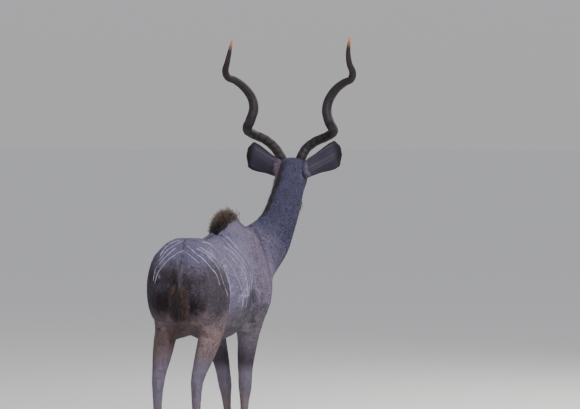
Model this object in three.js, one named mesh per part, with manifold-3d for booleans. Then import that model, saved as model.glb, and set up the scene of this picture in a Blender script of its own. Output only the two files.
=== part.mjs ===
// Greater kudu bull, life size, standing still.
// Millimetres, +Z up. The body faces -Y, so its left side is +X. The neck leans to the bull's right and the
// head looks back to the left of the body's own line.
import * as THREE from "three";
import { mergeVertices } from "three/addons/utils/BufferGeometryUtils.js";
import Module from "manifold-3d";

const wasm = await Module();
wasm.setup();

// Driving sizes of the whole animal
const WITHERS_HEIGHT = 1512;
const TRUNK_REAR = -552; // start of the rounded rump, along the body
const TRUNK_FRONT = 515; // start of the rounded chest
const RUMP_ROUNDING = 138;
const CHEST_ROUNDING = 152;
const HOOF_HEIGHT = 62;
const GAP = 0.3; // between pieces that touch
const LOCK_ROOT = 14; // how deep a lock of hair is rooted
const HEAD_YAW = 18; // degrees to the bull's left
const HEAD_PITCH = 30; // degrees, nose down

const LEFT = 1;
const RIGHT = -1;

// Where things are: a point by its place to the bull's left, along the body towards the head, and above
// the ground
const at = (side, along, up) => new THREE.Vector3(side, -along, up);
const radians = THREE.MathUtils.degToRad;
const UP = new THREE.Vector3(0, 0, 1);
const ACROSS = new THREE.Vector3(1, 0, 0);

// A smooth curve y(x) through a few points, flat past its ends
function smoothCurve(points) {
  const slope = points.map((p, i) => {
    const a = points[Math.max(i - 1, 0)];
    const b = points[Math.min(i + 1, points.length - 1)];
    return (b[1] - a[1]) / (b[0] - a[0]);
  });
  return (x) => {
    if (x <= points[0][0]) return points[0][1];
    const last = points.length - 1;
    if (x >= points[last][0]) return points[last][1];
    let i = 0;
    while (x > points[i + 1][0]) i += 1;
    const width = points[i + 1][0] - points[i][0];
    const t = (x - points[i][0]) / width;
    const rise = points[i + 1][1] - points[i][1];
    const a = slope[i] * width - rise;
    const b = rise - slope[i + 1] * width;
    return points[i][1] + t * rise + t * (1 - t) * (a * (1 - t) + b * t);
  };
}

// Two distances joined with a soft fold of the given width
function soften(a, b, width) {
  const near = Math.max(width - Math.abs(a - b), 0) / width;
  return Math.min(a, b) - (near * near * width) / 4;
}

// A limb: oval beads strung along a curve. Each station is [point, half width, half depth, heading in
// degrees].
function limb(stations, count) {
  const path = new THREE.CatmullRomCurve3(stations.map((s) => s[0]), false, "centripetal");
  const sizes = new THREE.CatmullRomCurve3(
    stations.map((s) => new THREE.Vector3(s[1], s[2], s[3] ?? 0)), false, "catmullrom");
  const beads = [];
  for (let i = 0; i <= count; i += 1) {
    const size = sizes.getPoint(i / count);
    const heading = radians(size.z);
    beads.push({
      at: path.getPoint(i / count),
      half: size.x,
      deep: size.y,
      side: new THREE.Vector3(Math.cos(heading), Math.sin(heading), 0),
    });
  }
  return { path, sizes, beads };
}

const toBead = new THREE.Vector3();
function limbDistance(p, one) {
  let best = Infinity;
  for (const bead of one.beads) {
    toBead.subVectors(p, bead.at);
    const wide = toBead.dot(bead.side);
    const rest = Math.max(toBead.lengthSq() - wide * wide, 0);
    const share = Math.sqrt((wide / bead.half) ** 2 + rest / bead.deep ** 2);
    best = Math.min(best, (share - 1) * Math.min(bead.half, bead.deep));
  }
  return best;
}

// A muscle or bone end: an ellipsoid turned in the side view, with the nose end down for a positive tilt
function swelling(centre, radii, tilt = 0) {
  const turn = new THREE.Matrix4().makeRotationX(radians(-tilt));
  return { centre, radii, turn };
}

const local = new THREE.Vector3();
function swellingDistance(p, one) {
  local.subVectors(p, one.centre).applyMatrix4(one.turn);
  const share = Math.sqrt(
    (local.x / one.radii[0]) ** 2 + (local.y / one.radii[1]) ** 2 + (local.z / one.radii[2]) ** 2);
  return (share - 1) * Math.min(...one.radii);
}

// The trunk, from the side and from above
const backLine = smoothCurve([
  [-552, 1345], [-478, 1386], [-368, 1416], [-230, 1412], [-74, 1404], [20, 1414], [110, 1442], [202, 1478],
  [304, 1505], [377, WITHERS_HEIGHT], [451, 1474], [515, 1392],
]);
const bellyLine = smoothCurve([
  [-552, 1005], [-414, 945], [-304, 879], [-166, 818], [0, 783], [147, 785], [294, 827], [414, 876],
  [515, 936],
]);
const halfWidth = smoothCurve([
  [-552, 152], [-442, 175], [-276, 180], [-92, 219], [37, 236], [166, 218], [294, 190], [414, 165],
  [515, 122],
]);
// How sharp the back is: 2 is an oval, less is a roof
const backShape = smoothCurve([[-552, 1.9], [-276, 1.75], [0, 1.75], [276, 1.5], [377, 1.3], [515, 1.5]]);
// The spine swings to the right towards the neck
const midline = smoothCurve([[60, 0], [250, -16], [400, -36], [515, -48]]);
const WIDEST_SHARE = 0.48;
const BELLY_SHAPE = 2;

function trunkDistance(p) {
  let best = plainTrunk(p);
  for (const hollow of hollows) best = -soften(-best, swellingDistance(p, hollow), 80);
  return best;
}

function plainTrunk(p) {
  const along = THREE.MathUtils.clamp(-p.y, TRUNK_REAR, TRUNK_FRONT);
  const top = backLine(along);
  const bottom = bellyLine(along);
  const wide = halfWidth(along);
  const middle = bottom + WIDEST_SHARE * (top - bottom);
  const past = -p.y - along;
  const rounding = past > 0 ? CHEST_ROUNDING : RUMP_ROUNDING;
  const above = p.z > middle;
  const high = above ? top - middle : middle - bottom;
  const power = above ? backShape(along) : BELLY_SHAPE;
  const off = Math.abs(p.x - midline(along));
  const section = (off / wide) ** power + (Math.abs(p.z - middle) / high) ** power;
  const share = Math.sqrt(section ** (2 / power) + (past / rounding) ** 2);
  return (share - 1) * Math.min(wide, high);
}

// Legs: how far each foot stands ahead of square, and how far out
const STANCE = {
  fore_left: { side: LEFT, ahead: 150, inward: 44 },
  fore_right: { side: RIGHT, ahead: -30, inward: 0 },
  hind_left: { side: LEFT, ahead: -30, inward: 6 },
  hind_right: { side: RIGHT, ahead: 50, inward: 4 },
};
const SWING_TOP = 1000; // a leg swings forward or back below this height

function legPoint(stance, side, along, up) {
  const swing = Math.max(0, (SWING_TOP - up) / SWING_TOP);
  return at(stance.side * (side - stance.inward * swing), along + stance.ahead * swing, up);
}

function foreLeg(stance) {
  const point = (side, along, up) => legPoint(stance, side, along, up);
  return limb([
    [point(122, 415, 1060), 76, 102],
    [point(130, 386, 950), 80, 94],
    [point(126, 384, 850), 77, 84],
    [point(112, 392, 740), 65, 70],
    [point(98, 402, 630), 53, 58],
    [point(94, 412, 552), 46, 50],
    [point(92, 416, 492), 45, 48],
    [point(91, 417, 438), 37, 41],
    [point(90, 412, 372), 28, 33],
    [point(90, 411, 280), 24, 28],
    [point(90, 413, 202), 28, 32],
    [point(90, 417, 162), 32, 34],
    [point(90, 436, 112), 28, 28],
    [point(90, 456, 66), 34, 36],
    [point(90, 472, 30), 35, 40],
  ], 60);
}

function hindLeg(stance) {
  const point = (side, along, up) => legPoint(stance, side, along, up);
  return limb([
    [point(134, -318, 1010), 72, 116],
    [point(138, -348, 920), 70, 112],
    [point(136, -420, 822), 67, 94],
    [point(128, -488, 737), 56, 73],
    [point(121, -546, 664), 44, 59],
    [point(116, -582, 602), 38, 50],
    [point(115, -597, 530), 32, 40],
    [point(114, -600, 430), 26, 32],
    [point(113, -597, 300), 24, 29],
    [point(112, -592, 216), 28, 33],
    [point(112, -584, 168), 32, 36],
    [point(112, -564, 116), 28, 30],
    [point(112, -541, 66), 34, 37],
    [point(112, -527, 30), 35, 40],
  ], 60);
}

const legs = {};
for (const [name, stance] of Object.entries(STANCE)) {
  legs[name] = name.startsWith("fore") ? foreLeg(stance) : hindLeg(stance);
}

// Muscles and bone ends on both sides
const muscles = [];
for (const side of [LEFT, RIGHT]) {
  muscles.push(
    swelling(at(side * 110 - 34, 380, 1262), [74, 96, 190], -18), // shoulder blade
    swelling(at(side * 108 - 44, 528, 1120), [74, 86, 120], 0), // point of the shoulder
    swelling(at(side * 132 - 32, 396, 1045), [94, 118, 165], 0), // upper arm
    swelling(at(side * 99, -460, 1207), [100, 170, 175], -20), // rump
    swelling(at(side * 105, -497, 1075), [94, 143, 178], 14), // buttock and thigh
    swelling(at(side * 142, -306, 985), [60, 92, 140], -30), // stifle
    swelling(at(side * 146, -366, 1090), [96, 104, 168], 0), // front of the thigh
    swelling(at(side * 78, -354, 1352), [58, 74, 56], 0), // hip bone
  );
}
// Hollows behind the shoulder and in front of the thigh
const hollows = [];
for (const side of [LEFT, RIGHT]) {
  hollows.push(
    swelling(at(side * 266 - 16, 232, 1010), [64, 64, 165], 0),
    swelling(at(side * 240, -192, 1075), [38, 72, 130], 10),
  );
}
const hocks = Object.entries(STANCE).filter(([name]) => name.startsWith("hind")).map(
  ([, stance]) => swelling(legPoint(stance, 116, -626, 612), [19, 24, 50], -12));
const elbows = Object.entries(STANCE).filter(([name]) => name.startsWith("fore")).map(
  ([, stance]) => swelling(legPoint(stance, 114, 318, 890), [34, 40, 48], 0));

// Neck: from inside the chest up to the skull, leaning to the right and turning back to the left
const neck = limb([
  [at(-4, 377, 1196), 104, 236, 0],
  [at(-34, 472, 1232), 94, 220, -14],
  [at(-96, 583, 1279), 90, 201, -28],
  [at(-157, 662, 1360), 92, 166, -35],
  [at(-197, 710, 1446), 97, 124, -38],
  [at(-224, 759, 1548), 94, 116, -28],
  [at(-237, 814, 1652), 96, 111, -8],
  [at(-239, 868, 1738), 97, 114, 4],
  [at(-239, 896, 1780), 86, 96, 12],
  [at(-238, 920, 1800), 64, 64, 18],
], 44);

// Head: its own frame, with nose, left and crown directions
const HEAD_ORIGIN = at(-238, 925, 1832); // inside the back of the skull
const headFrame = new THREE.Matrix4().makeTranslation(HEAD_ORIGIN)
  .multiply(new THREE.Matrix4().makeRotationZ(radians(HEAD_YAW)))
  .multiply(new THREE.Matrix4().makeRotationX(radians(HEAD_PITCH)));
const headPoint = (side, toNose, up) => new THREE.Vector3(side, -toNose, up).applyMatrix4(headFrame);
const toHead = headFrame.clone().invert();
const headForward = at(0, 1, 0).applyAxisAngle(UP, radians(HEAD_YAW));
const headLeft = ACROSS.clone().applyAxisAngle(UP, radians(HEAD_YAW));

const headCrown = smoothCurve([
  [-55, -12], [-18, 10], [37, 38], [83, 54], [129, 58], [184, 50], [258, 37], [322, 28], [360, 20], [396, 2],
]);
const headThroat = smoothCurve([
  [-55, -50], [-9, -84], [46, -118], [101, -122], [160, -108], [215, -92], [258, -84], [313, -80], [360, -76],
  [396, -60],
]);
const headHalf = smoothCurve([
  [-55, 50], [-9, 66], [46, 70], [101, 69], [138, 64], [193, 53], [258, 45], [313, 41], [359, 40], [396, 33],
]);
const HEAD_BACK = -37;
const HEAD_FRONT = 373;
const NOSE_ROUNDING = 33;
const SKULL_ROUNDING = 55;
const EYE_RADIUS = 19;
const EYE = { side: 61, toNose: 120, up: 20 };

const headBumps = [];
for (const side of [LEFT, RIGHT]) {
  headBumps.push(
    { at: [side * 54, EYE.toNose - 3, EYE.up + 10], radii: [22, 32, 27] }, // brow and eye socket
    { at: [side * 42, 60, -66], radii: [26, 62, 46] }, // cheek
    { at: [side * 34, 62, 38], radii: [34, 38, 26] }, // horn root
    { at: [side * 23, 384, -8], radii: [16, 24, 20] }, // nostril wing
    { at: [side * 24, 358, -42], radii: [19, 36, 17] }, // upper lip
    { at: [side * 62, 6, -20], radii: [30, 36, 46] }, // ear root
  );
}
headBumps.push({ at: [0, 350, -70], radii: [25, 30, 15] }); // chin

const inHead = new THREE.Vector3();
function headDistance(p) {
  inHead.copy(p).applyMatrix4(toHead);
  const toNose = THREE.MathUtils.clamp(-inHead.y, HEAD_BACK, HEAD_FRONT);
  const top = headCrown(toNose);
  const bottom = headThroat(toNose);
  const wide = headHalf(toNose);
  const middle = bottom + 0.62 * (top - bottom);
  const past = -inHead.y - toNose;
  const rounding = past > 0 ? NOSE_ROUNDING : SKULL_ROUNDING;
  const high = inHead.z > middle ? top - middle : middle - bottom;
  const power = inHead.z > middle ? 2.5 : 1.95;
  const section = (Math.abs(inHead.x) / wide) ** power + (Math.abs(inHead.z - middle) / high) ** power;
  const share = Math.sqrt(section ** (2 / power) + (past / rounding) ** 2);
  let best = (share - 1) * Math.min(wide, high);
  for (const bump of headBumps) {
    const bumpShare = Math.sqrt(
      ((inHead.x - bump.at[0]) / bump.radii[0]) ** 2 +
      ((-inHead.y - bump.at[1]) / bump.radii[1]) ** 2 +
      ((inHead.z - bump.at[2]) / bump.radii[2]) ** 2);
    best = soften(best, (bumpShare - 1) * Math.min(...bump.radii), 22);
  }
  return best;
}

// The surface of flesh: below zero is inside
const neckBase = { beads: neck.beads.slice(0, 12) };
function bodyDistance(p) {
  let best = trunkDistance(p);
  for (const muscle of muscles) best = soften(best, swellingDistance(p, muscle), 64);
  best = soften(best, limbDistance(p, neckBase), 50);
  for (const elbow of elbows) best = soften(best, swellingDistance(p, elbow), 30);
  return best;
}
function neckDistance(p) {
  let best = soften(trunkDistance(p), limbDistance(p, neck), 50);
  for (const muscle of muscles) {
    if (muscle.centre.y < 0) best = soften(best, swellingDistance(p, muscle), 64);
  }
  return best;
}
const nape = { beads: neck.beads.slice(-9) };
function skullDistance(p) {
  return soften(headDistance(p), limbDistance(p, nape), 70);
}
function legDistance(p, name) {
  let best = soften(trunkDistance(p), limbDistance(p, legs[name]), 50);
  const bumps = name.startsWith("hind") ? hocks : elbows;
  for (const muscle of muscles) {
    if (Math.sign(muscle.centre.x) === STANCE[name].side) {
      best = soften(best, swellingDistance(p, muscle), 64);
    }
  }
  for (const bump of bumps) best = soften(best, swellingDistance(p, bump), 24);
  return best;
}

// How far the surface lies from a point inside, in one direction
const STEP = 6;
const FARTHEST = 900;
const probe = new THREE.Vector3();
function reach(from, direction, distance, level = 0) {
  let far = STEP;
  const sample = (t) => distance(probe.copy(from).addScaledVector(direction, t)) - level;
  while (far < FARTHEST && sample(far) < 0) far += STEP;
  let near = far - STEP;
  for (let i = 0; i < 12; i += 1) {
    const middle = (near + far) / 2;
    if (sample(middle) < 0) near = middle;
    else far = middle;
  }
  return (near + far) / 2;
}

// A closed mesh from rings of points, all with the same count, with a fan at each end
function ringMesh(rings) {
  const count = rings[0].length;
  const points = rings.flat();
  const first = points.length;
  const centreOf = (ring) => ring.reduce((sum, p) => sum.add(p), new THREE.Vector3()).divideScalar(count);
  points.push(centreOf(rings[0]), centreOf(rings[rings.length - 1]));
  const faces = [];
  for (let i = 0; i + 1 < rings.length; i += 1) {
    for (let j = 0; j < count; j += 1) {
      const k = (j + 1) % count;
      const [a, b, c, d] = [i * count + j, i * count + k, (i + 1) * count + k, (i + 1) * count + j];
      faces.push(a, b, c, a, c, d);
    }
  }
  const top = (rings.length - 1) * count;
  for (let j = 0; j < count; j += 1) {
    const k = (j + 1) % count;
    faces.push(first, k, j, first + 1, top + j, top + k);
  }
  const geometry = new THREE.BufferGeometry().setFromPoints(points);
  geometry.setIndex(faces);
  return geometry;
}

// A three.js geometry as a solid, and back
function solidOf(geometry) {
  const bare = geometry.clone();
  bare.deleteAttribute("normal");
  bare.deleteAttribute("uv");
  const merged = mergeVertices(bare, 1e-3);
  const made = new wasm.Manifold(new wasm.Mesh({
    numProp: 3,
    vertProperties: new Float32Array(merged.attributes.position.array),
    triVerts: new Uint32Array(merged.index.array),
  }));
  if (made.volume() > 0) return made;
  const turned = new Uint32Array(merged.index.array);
  for (let i = 0; i < turned.length; i += 3) [turned[i + 1], turned[i + 2]] = [turned[i + 2], turned[i + 1]];
  return new wasm.Manifold(new wasm.Mesh({
    numProp: 3,
    vertProperties: new Float32Array(merged.attributes.position.array),
    triVerts: turned,
  }));
}

function geometryOf(solid) {
  const mesh = solid.getMesh();
  const points = new Float32Array(mesh.numVert * 3);
  for (let i = 0; i < mesh.numVert; i += 1) {
    points.set(mesh.vertProperties.subarray(i * mesh.numProp, i * mesh.numProp + 3), i * 3);
  }
  const geometry = new THREE.BufferGeometry();
  geometry.setAttribute("position", new THREE.BufferAttribute(points, 3));
  geometry.setIndex(new THREE.BufferAttribute(new Uint32Array(mesh.triVerts), 1));
  return geometry;
}

// Only the largest closed surface of a solid
function largest(solid) {
  return solid.decompose().reduce((best, one) => (one.volume() > best.volume() ? one : best));
}

const joined = (solids) => solids.reduce((sum, one) => sum.add(one));

// A number between two others that is the same in every run
let drawn = 7;
function draw(low, high) {
  drawn = (drawn * 16807) % 2147483647;
  return low + ((high - low) * drawn) / 2147483647;
}

// A lock of hair: a flat blade that tapers and bends from standing out to lying down, its root sunk in the
// flesh
const LOCK_WIDTHS = [0.8, 1, 0.72, 0.06]; // share of the half width from root to tip
function lock({ root, out, lie, flat, length, half, thick, rise, rest, sway = 0 }) {
  const steps = LOCK_WIDTHS.length - 1;
  const centre = root.clone().addScaledVector(out, -LOCK_ROOT);
  const whole = length + LOCK_ROOT;
  const rings = [];
  for (let i = 0; i <= steps; i += 1) {
    const angle = radians(rise + ((rest - rise) * i) / steps);
    const along = out.clone().multiplyScalar(Math.cos(angle)).addScaledVector(lie, Math.sin(angle));
    if (i > 0) centre.addScaledVector(along, whole / steps).addScaledVector(flat, sway / steps);
    const wide = new THREE.Vector3().crossVectors(along, flat).normalize();
    const halfHere = half * LOCK_WIDTHS[i];
    const thin = Math.max(thick * LOCK_WIDTHS[i], 0.5);
    rings.push([
      centre.clone().addScaledVector(wide, halfHere),
      centre.clone().addScaledVector(flat, thin),
      centre.clone().addScaledVector(wide, -halfHere),
      centre.clone().addScaledVector(flat, -thin),
    ]);
  }
  return solidOf(ringMesh(rings));
}

// Locks along a line of the skin in two staggered rows, one each side of the line, so that they overlap in
// the side view and lie past one another
function lockRow({ count, place, length, half, thick, apart, rise, rest }) {
  const locks = [];
  for (let i = 0; i < count; i += 1) {
    const share = i / (count - 1);
    const { root, out, lie, flat } = place(share);
    const row = i % 2 === 0 ? 1 : -1;
    locks.push(lock({
      root: root.clone().addScaledVector(flat, (row * apart) / 2),
      out, lie,
      flat: flat.clone().multiplyScalar(row),
      length: length(share) * draw(0.9, 1.1),
      half: half * draw(0.92, 1.06),
      thick,
      rise: rise + draw(-3, 3),
      rest: rest + draw(-3, 3),
      sway: draw(0, 0.06) * length(share),
    }));
  }
  return locks;
}

// What lies ahead of a plane through a point
function ahead(solid, point, normal, gap = GAP / 2) {
  return solid.trimByPlane(normal.toArray(), point.dot(normal) + gap);
}

// Skin over an axis: rays leave points on the axis, straight out along it and fanned round at both ends
function skinOverAxis({ from, to, side, sides, rings, endRings, distance, level = 0 }) {
  const forward = to.clone().sub(from).normalize();
  const across = side.clone().addScaledVector(forward, -side.dot(forward)).normalize();
  const over = new THREE.Vector3().crossVectors(across, forward);
  const ringAt = (origin, lean) => {
    const ring = [];
    for (let j = 0; j < sides; j += 1) {
      const angle = (j / sides) * 2 * Math.PI;
      const ray = across.clone().multiplyScalar(Math.cos(angle) * Math.cos(lean))
        .addScaledVector(over, Math.sin(angle) * Math.cos(lean))
        .addScaledVector(forward, Math.sin(lean));
      ring.push(origin.clone().addScaledVector(ray, reach(origin, ray, distance, level)));
    }
    return ring;
  };
  const result = [];
  const steepest = Math.PI / 2 - 0.09;
  for (let i = endRings; i > 0; i -= 1) result.push(ringAt(from, (-steepest * i) / endRings));
  for (let i = 0; i <= rings; i += 1) result.push(ringAt(from.clone().lerp(to, i / rings), 0));
  for (let i = 1; i <= endRings; i += 1) result.push(ringAt(to, (steepest * i) / endRings));
  return ringMesh(result);
}

// Skin over a stretch of a limb, in rings square to its curve, sunk where another skin lies over it
function skinOverLimb({ one, start, end, rings, sides, distance, level = 0, sunk = () => 0 }) {
  const result = [];
  for (let i = 0; i <= rings; i += 1) {
    const t = start + ((end - start) * i) / rings;
    const depth = level - sunk(t);
    const origin = one.path.getPoint(t);
    const tangent = one.path.getTangent(t);
    const heading = radians(one.sizes.getPoint(t).z);
    const across = new THREE.Vector3(Math.cos(heading), Math.sin(heading), 0);
    across.addScaledVector(tangent, -across.dot(tangent)).normalize();
    const over = new THREE.Vector3().crossVectors(across, tangent);
    const ring = [];
    for (let j = 0; j < sides; j += 1) {
      const angle = (j / sides) * 2 * Math.PI;
      const ray = across.clone().multiplyScalar(Math.cos(angle)).addScaledVector(over, Math.sin(angle));
      ring.push(origin.clone().addScaledVector(ray, reach(origin, ray, distance, depth)));
    }
    result.push(ring);
  }
  return ringMesh(result);
}

// A block cut from a side-view outline, from one distance off the middle to another
function sideBlock(outline, near, far, side, frame = new THREE.Matrix4()) {
  const shape = new THREE.Shape(outline.map(([along, up]) => new THREE.Vector2(along, up)));
  const geometry = new THREE.ExtrudeGeometry(shape, { depth: far - near, bevelEnabled: false });
  const start = side === LEFT ? far : -near;
  geometry.applyMatrix4(new THREE.Matrix4().makeBasis(
    new THREE.Vector3(0, -1, 0), UP, new THREE.Vector3(-1, 0, 0)));
  geometry.translate(start, 0, 0);
  geometry.applyMatrix4(frame);
  return solidOf(geometry);
}

// Where the limbs part from the trunk, seen from the side
const SHOULDER_OUTLINE = [
  [230, 715], [189, 972], [198, 1156], [241, 1313], [294, 1407], [354, 1437], [414, 1416], [488, 1331],
  [570, 1239], [644, 1175], [736, 1120], [736, 991], [589, 917], [515, 715],
];
const THIGH_OUTLINE = [
  [-147, 715], [-189, 917], [-213, 1018], [-241, 1138], [-293, 1248], [-368, 1324], [-460, 1350],
  [-552, 1324], [-626, 1271], [-681, 1230], [-920, 1212], [-920, 715],
];
const SHOULDER_DEPTH = 57; // from the middle of the body
const FORE_CUT = { point: at(0, 396, 800), normal: at(0, 0.12, -1).normalize() };
const HIND_CUT = { point: at(0, -396, 862), normal: at(0, -0.35, -1).normalize() };

const torsoSkin = solidOf(skinOverAxis({
  from: at(0, -515, 1152), to: at(-8, 497, 1172), side: ACROSS, sides: 30, rings: 17, endRings: 5,
  distance: bodyDistance,
}));

const NECK_CUT = { point: at(-66, 550, 1318), normal: at(-0.36, 0.74, 0.55).normalize() };
const HEAD_CUT = { point: at(-236, 906, 1727), normal: at(0.08, 0.6, 0.8).normalize() };

const neckSunk = smoothCurve([[0.08, 9], [0.16, 5], [0.24, 0], [0.84, 0], [0.92, 5], [1, 9]]);
const neckSkinAt = (level) => solidOf(skinOverLimb({
  one: neck, start: 0.08, end: 0.995, rings: 15, sides: 22, distance: neckDistance, level, sunk: neckSunk,
}));
const neckSkin = neckSkinAt(0);
const neckGrown = neckSkinAt(GAP);
const headSkin = (level) => solidOf(skinOverAxis({
  from: headPoint(0, -18, -16), to: headPoint(0, 360, -31), side: headPoint(1, 0, 0).sub(headPoint(0, 0, 0)),
  sides: 24, rings: 23, endRings: 4, distance: skullDistance, level,
}));
const headWhole = headSkin(0);
const headGrown = headSkin(GAP);
const headInner = headSkin(-9);

const backwards = (normal) => normal.clone().negate();
const nodes = {};
const put = (name, solid) => {
  nodes[name] = largest(solid);
};

// Trunk and limbs are one skin, parted by thin cuts
const legSunk = smoothCurve([[0, 9], [0.12, 5], [0.24, 0]]);
const legSkins = {};
for (const name of Object.keys(STANCE)) {
  legSkins[name] = solidOf(skinOverLimb({
    one: legs[name], start: 0.02, end: 0.985, rings: 20, sides: 10, distance: (p) => legDistance(p, name),
    sunk: legSunk,
  }));
}
const upperLegs = Object.entries(legSkins).map(([name, skin]) => {
  const cut = name.startsWith("fore") ? FORE_CUT : HIND_CUT;
  return ahead(skin, cut.point, backwards(cut.normal));
});
const flesh = joined([torsoSkin, ...upperLegs, neckSkin, headWhole]);
const trunk = largest(ahead(flesh, NECK_CUT.point, backwards(NECK_CUT.normal)));
const blocks = {};
for (const [name, stance] of Object.entries(STANCE)) {
  const isFore = name.startsWith("fore");
  const outline = isFore ? SHOULDER_OUTLINE : THIGH_OUTLINE;
  const near = isFore ? SHOULDER_DEPTH : 0;
  const cut = isFore ? FORE_CUT : HIND_CUT;
  blocks[name] = sideBlock(outline, near, 500, stance.side);
  const inner = sideBlock(outline, near + GAP, 500, stance.side);
  const upper = trunk.intersect(inner);
  const label = isFore ? "upper_foreleg" : "upper_hindleg";
  const sideName = stance.side === LEFT ? "left" : "right";
  put(`${label}_${sideName}`, ahead(upper, cut.point, backwards(cut.normal)));
}
const grownBlocks = joined(Object.entries(STANCE).map(([name, stance]) => {
  const isFore = name.startsWith("fore");
  const outline = isFore ? SHOULDER_OUTLINE : THIGH_OUTLINE;
  const corners = outline.map(([along, up]) => new THREE.Vector2(along, up));
  const centre = corners.reduce((sum, p) => sum.add(p), new THREE.Vector2()).divideScalar(corners.length);
  const wider = corners.map((p) => p.add(p.clone().sub(centre).setLength(GAP * 1.6)).toArray());
  return sideBlock(wider, isFore ? SHOULDER_DEPTH : 0, 500, stance.side);
}));

// The crest on the withers runs back along the spine and dies out
const CREST = { front: 430, rear: -60 };
const crestLength = smoothCurve([[0, 44], [0.14, 78], [0.38, 98], [0.6, 98], [0.8, 66], [1, 34]]);
const spine = (along) => {
  const start = at(midline(along), along, 1200);
  return start.addScaledVector(UP, reach(start, UP, bodyDistance));
};
const crest = lockRow({
  count: 17,
  place: (share) => {
    const along = CREST.front + (CREST.rear - CREST.front) * share;
    const root = spine(along);
    const lie = spine(along - 40).sub(root).normalize();
    const out = UP.clone().addScaledVector(lie, -lie.z).normalize();
    return { root, out, lie, flat: ACROSS };
  },
  length: crestLength, half: 24, thick: 5, apart: 11.5, rise: 40, rest: 70,
});
const crested = ahead(joined(crest), NECK_CUT.point, backwards(NECK_CUT.normal));
put("torso", trunk.subtract(grownBlocks).add(crested));

// Lower legs and hooves
const TOE_SIDES = 8;

function toe(centre, outward) {
  const rings = [];
  const LENGTH = 92;
  const WIDTH = 34;
  for (const [up, scale, back] of [[0, 1, 0], [22, 0.97, 5], [46, 0.84, 15], [HOOF_HEIGHT, 0.76, 22]]) {
    const ring = [];
    for (let j = 0; j < TOE_SIDES; j += 1) {
      const angle = (j / TOE_SIDES) * 2 * Math.PI;
      const along = Math.cos(angle);
      const blunt = 1 - 0.32 * Math.max(along, 0) ** 2;
      const across = Math.sin(angle) * blunt;
      const bowed = Math.sin(angle) * outward > 0 ? across : across * 0.86;
      ring.push(new THREE.Vector3(
        centre.x + bowed * (WIDTH / 2) * scale,
        centre.y - along * (LENGTH / 2) * scale + back,
        up));
    }
    rings.push(ring);
  }
  return solidOf(ringMesh(rings));
}

for (const [name, stance] of Object.entries(STANCE)) {
  const isFore = name.startsWith("fore");
  const sideName = stance.side === LEFT ? "left" : "right";
  const cut = isFore ? FORE_CUT : HIND_CUT;
  let lower = ahead(legSkins[name], cut.point, cut.normal);
  lower = ahead(lower, at(0, 0, HOOF_HEIGHT), UP);
  const fetlock = isFore ? legPoint(stance, 90, 398, 134) : legPoint(stance, 112, -603, 138);
  for (const spread of [-17, 17]) {
    const claw = new THREE.SphereGeometry(1, 6, 4);
    claw.scale(10, 13, 15);
    claw.translate(fetlock.x + spread, fetlock.y, fetlock.z);
    lower = lower.add(solidOf(claw));
  }
  put(`lower_${isFore ? "foreleg" : "hindleg"}_${sideName}`, lower);

  const foot = isFore ? legPoint(stance, 90, 472, 0) : legPoint(stance, 112, -527, 0);
  let hoof = toe(foot.clone().add(new THREE.Vector3(18.5, 0, 0)), 1)
    .add(toe(foot.clone().add(new THREE.Vector3(-18.5, 0, 0)), -1));
  const web = new THREE.SphereGeometry(1, 7, 5);
  web.scale(24, 28, 16);
  web.translate(foot.x, foot.y + 18, HOOF_HEIGHT - 16);
  hoof = hoof.add(solidOf(web));
  put(`hoof_${isFore ? "fore" : "hind"}_${sideName}`, ahead(hoof, at(0, 0, HOOF_HEIGHT), backwards(UP)));
}

// Neck
const neckCore = largest(ahead(
  ahead(flesh, NECK_CUT.point, NECK_CUT.normal), HEAD_CUT.point, backwards(HEAD_CUT.normal)));

function ballAt(centre, radii, detail = 12) {
  const ball = new THREE.SphereGeometry(1, detail, Math.round(detail * 0.7));
  ball.scale(...radii);
  ball.applyMatrix4(new THREE.Matrix4().extractRotation(headFrame));
  ball.translate(centre.x, centre.y, centre.z);
  return solidOf(ball);
}

const LID_SIZE = 18;
const LID_SLANT = 12; // degrees, the front corner lower
const LID_FORWARD = 10; // degrees that the eyes look ahead
let head = largest(ahead(ahead(flesh, NECK_CUT.point, NECK_CUT.normal), HEAD_CUT.point, HEAD_CUT.normal));
const eyes = {};
for (const side of [LEFT, RIGHT]) {
  const centre = headPoint(side * EYE.side, EYE.toNose, EYE.up);
  const lids = new THREE.TorusGeometry(LID_SIZE, 6, 5, 15);
  lids.scale(1.12, 0.84, 1);
  lids.rotateY(radians(side * 90));
  lids.rotateX(radians(LID_SLANT));
  lids.rotateZ(radians(side * -LID_FORWARD));
  lids.translate(side * (EYE.side + 11), -EYE.toNose, EYE.up);
  lids.applyMatrix4(headFrame);
  head = head.add(solidOf(lids));
  head = head.subtract(ballAt(centre, [EYE_RADIUS + GAP, EYE_RADIUS + GAP, EYE_RADIUS + GAP], 10));
  eyes[side] = ballAt(centre, [EYE_RADIUS, EYE_RADIUS, EYE_RADIUS], 10);
  head = head.subtract(ballAt(headPoint(side * 27, 399, -6), [8, 17, 9], 10));
}

// Mouth: a thin slit round the muzzle, as deep as the lips are thick
const MOUTH_CORNER = 281;
const mouthLine = smoothCurve([[MOUTH_CORNER, -52], [322, -55], [368, -53], [423, -50]]);
const slit = [];
for (let along = MOUTH_CORNER; along <= 431; along += 50) slit.push([along, mouthLine(along) + 1.4]);
for (let along = 431; along >= MOUTH_CORNER; along -= 50) slit.push([along, mouthLine(along) - 1.4]);
const slitBlock = sideBlock(slit, -80, 80, LEFT, headFrame).subtract(headInner);
head = head.subtract(slitBlock);

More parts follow.
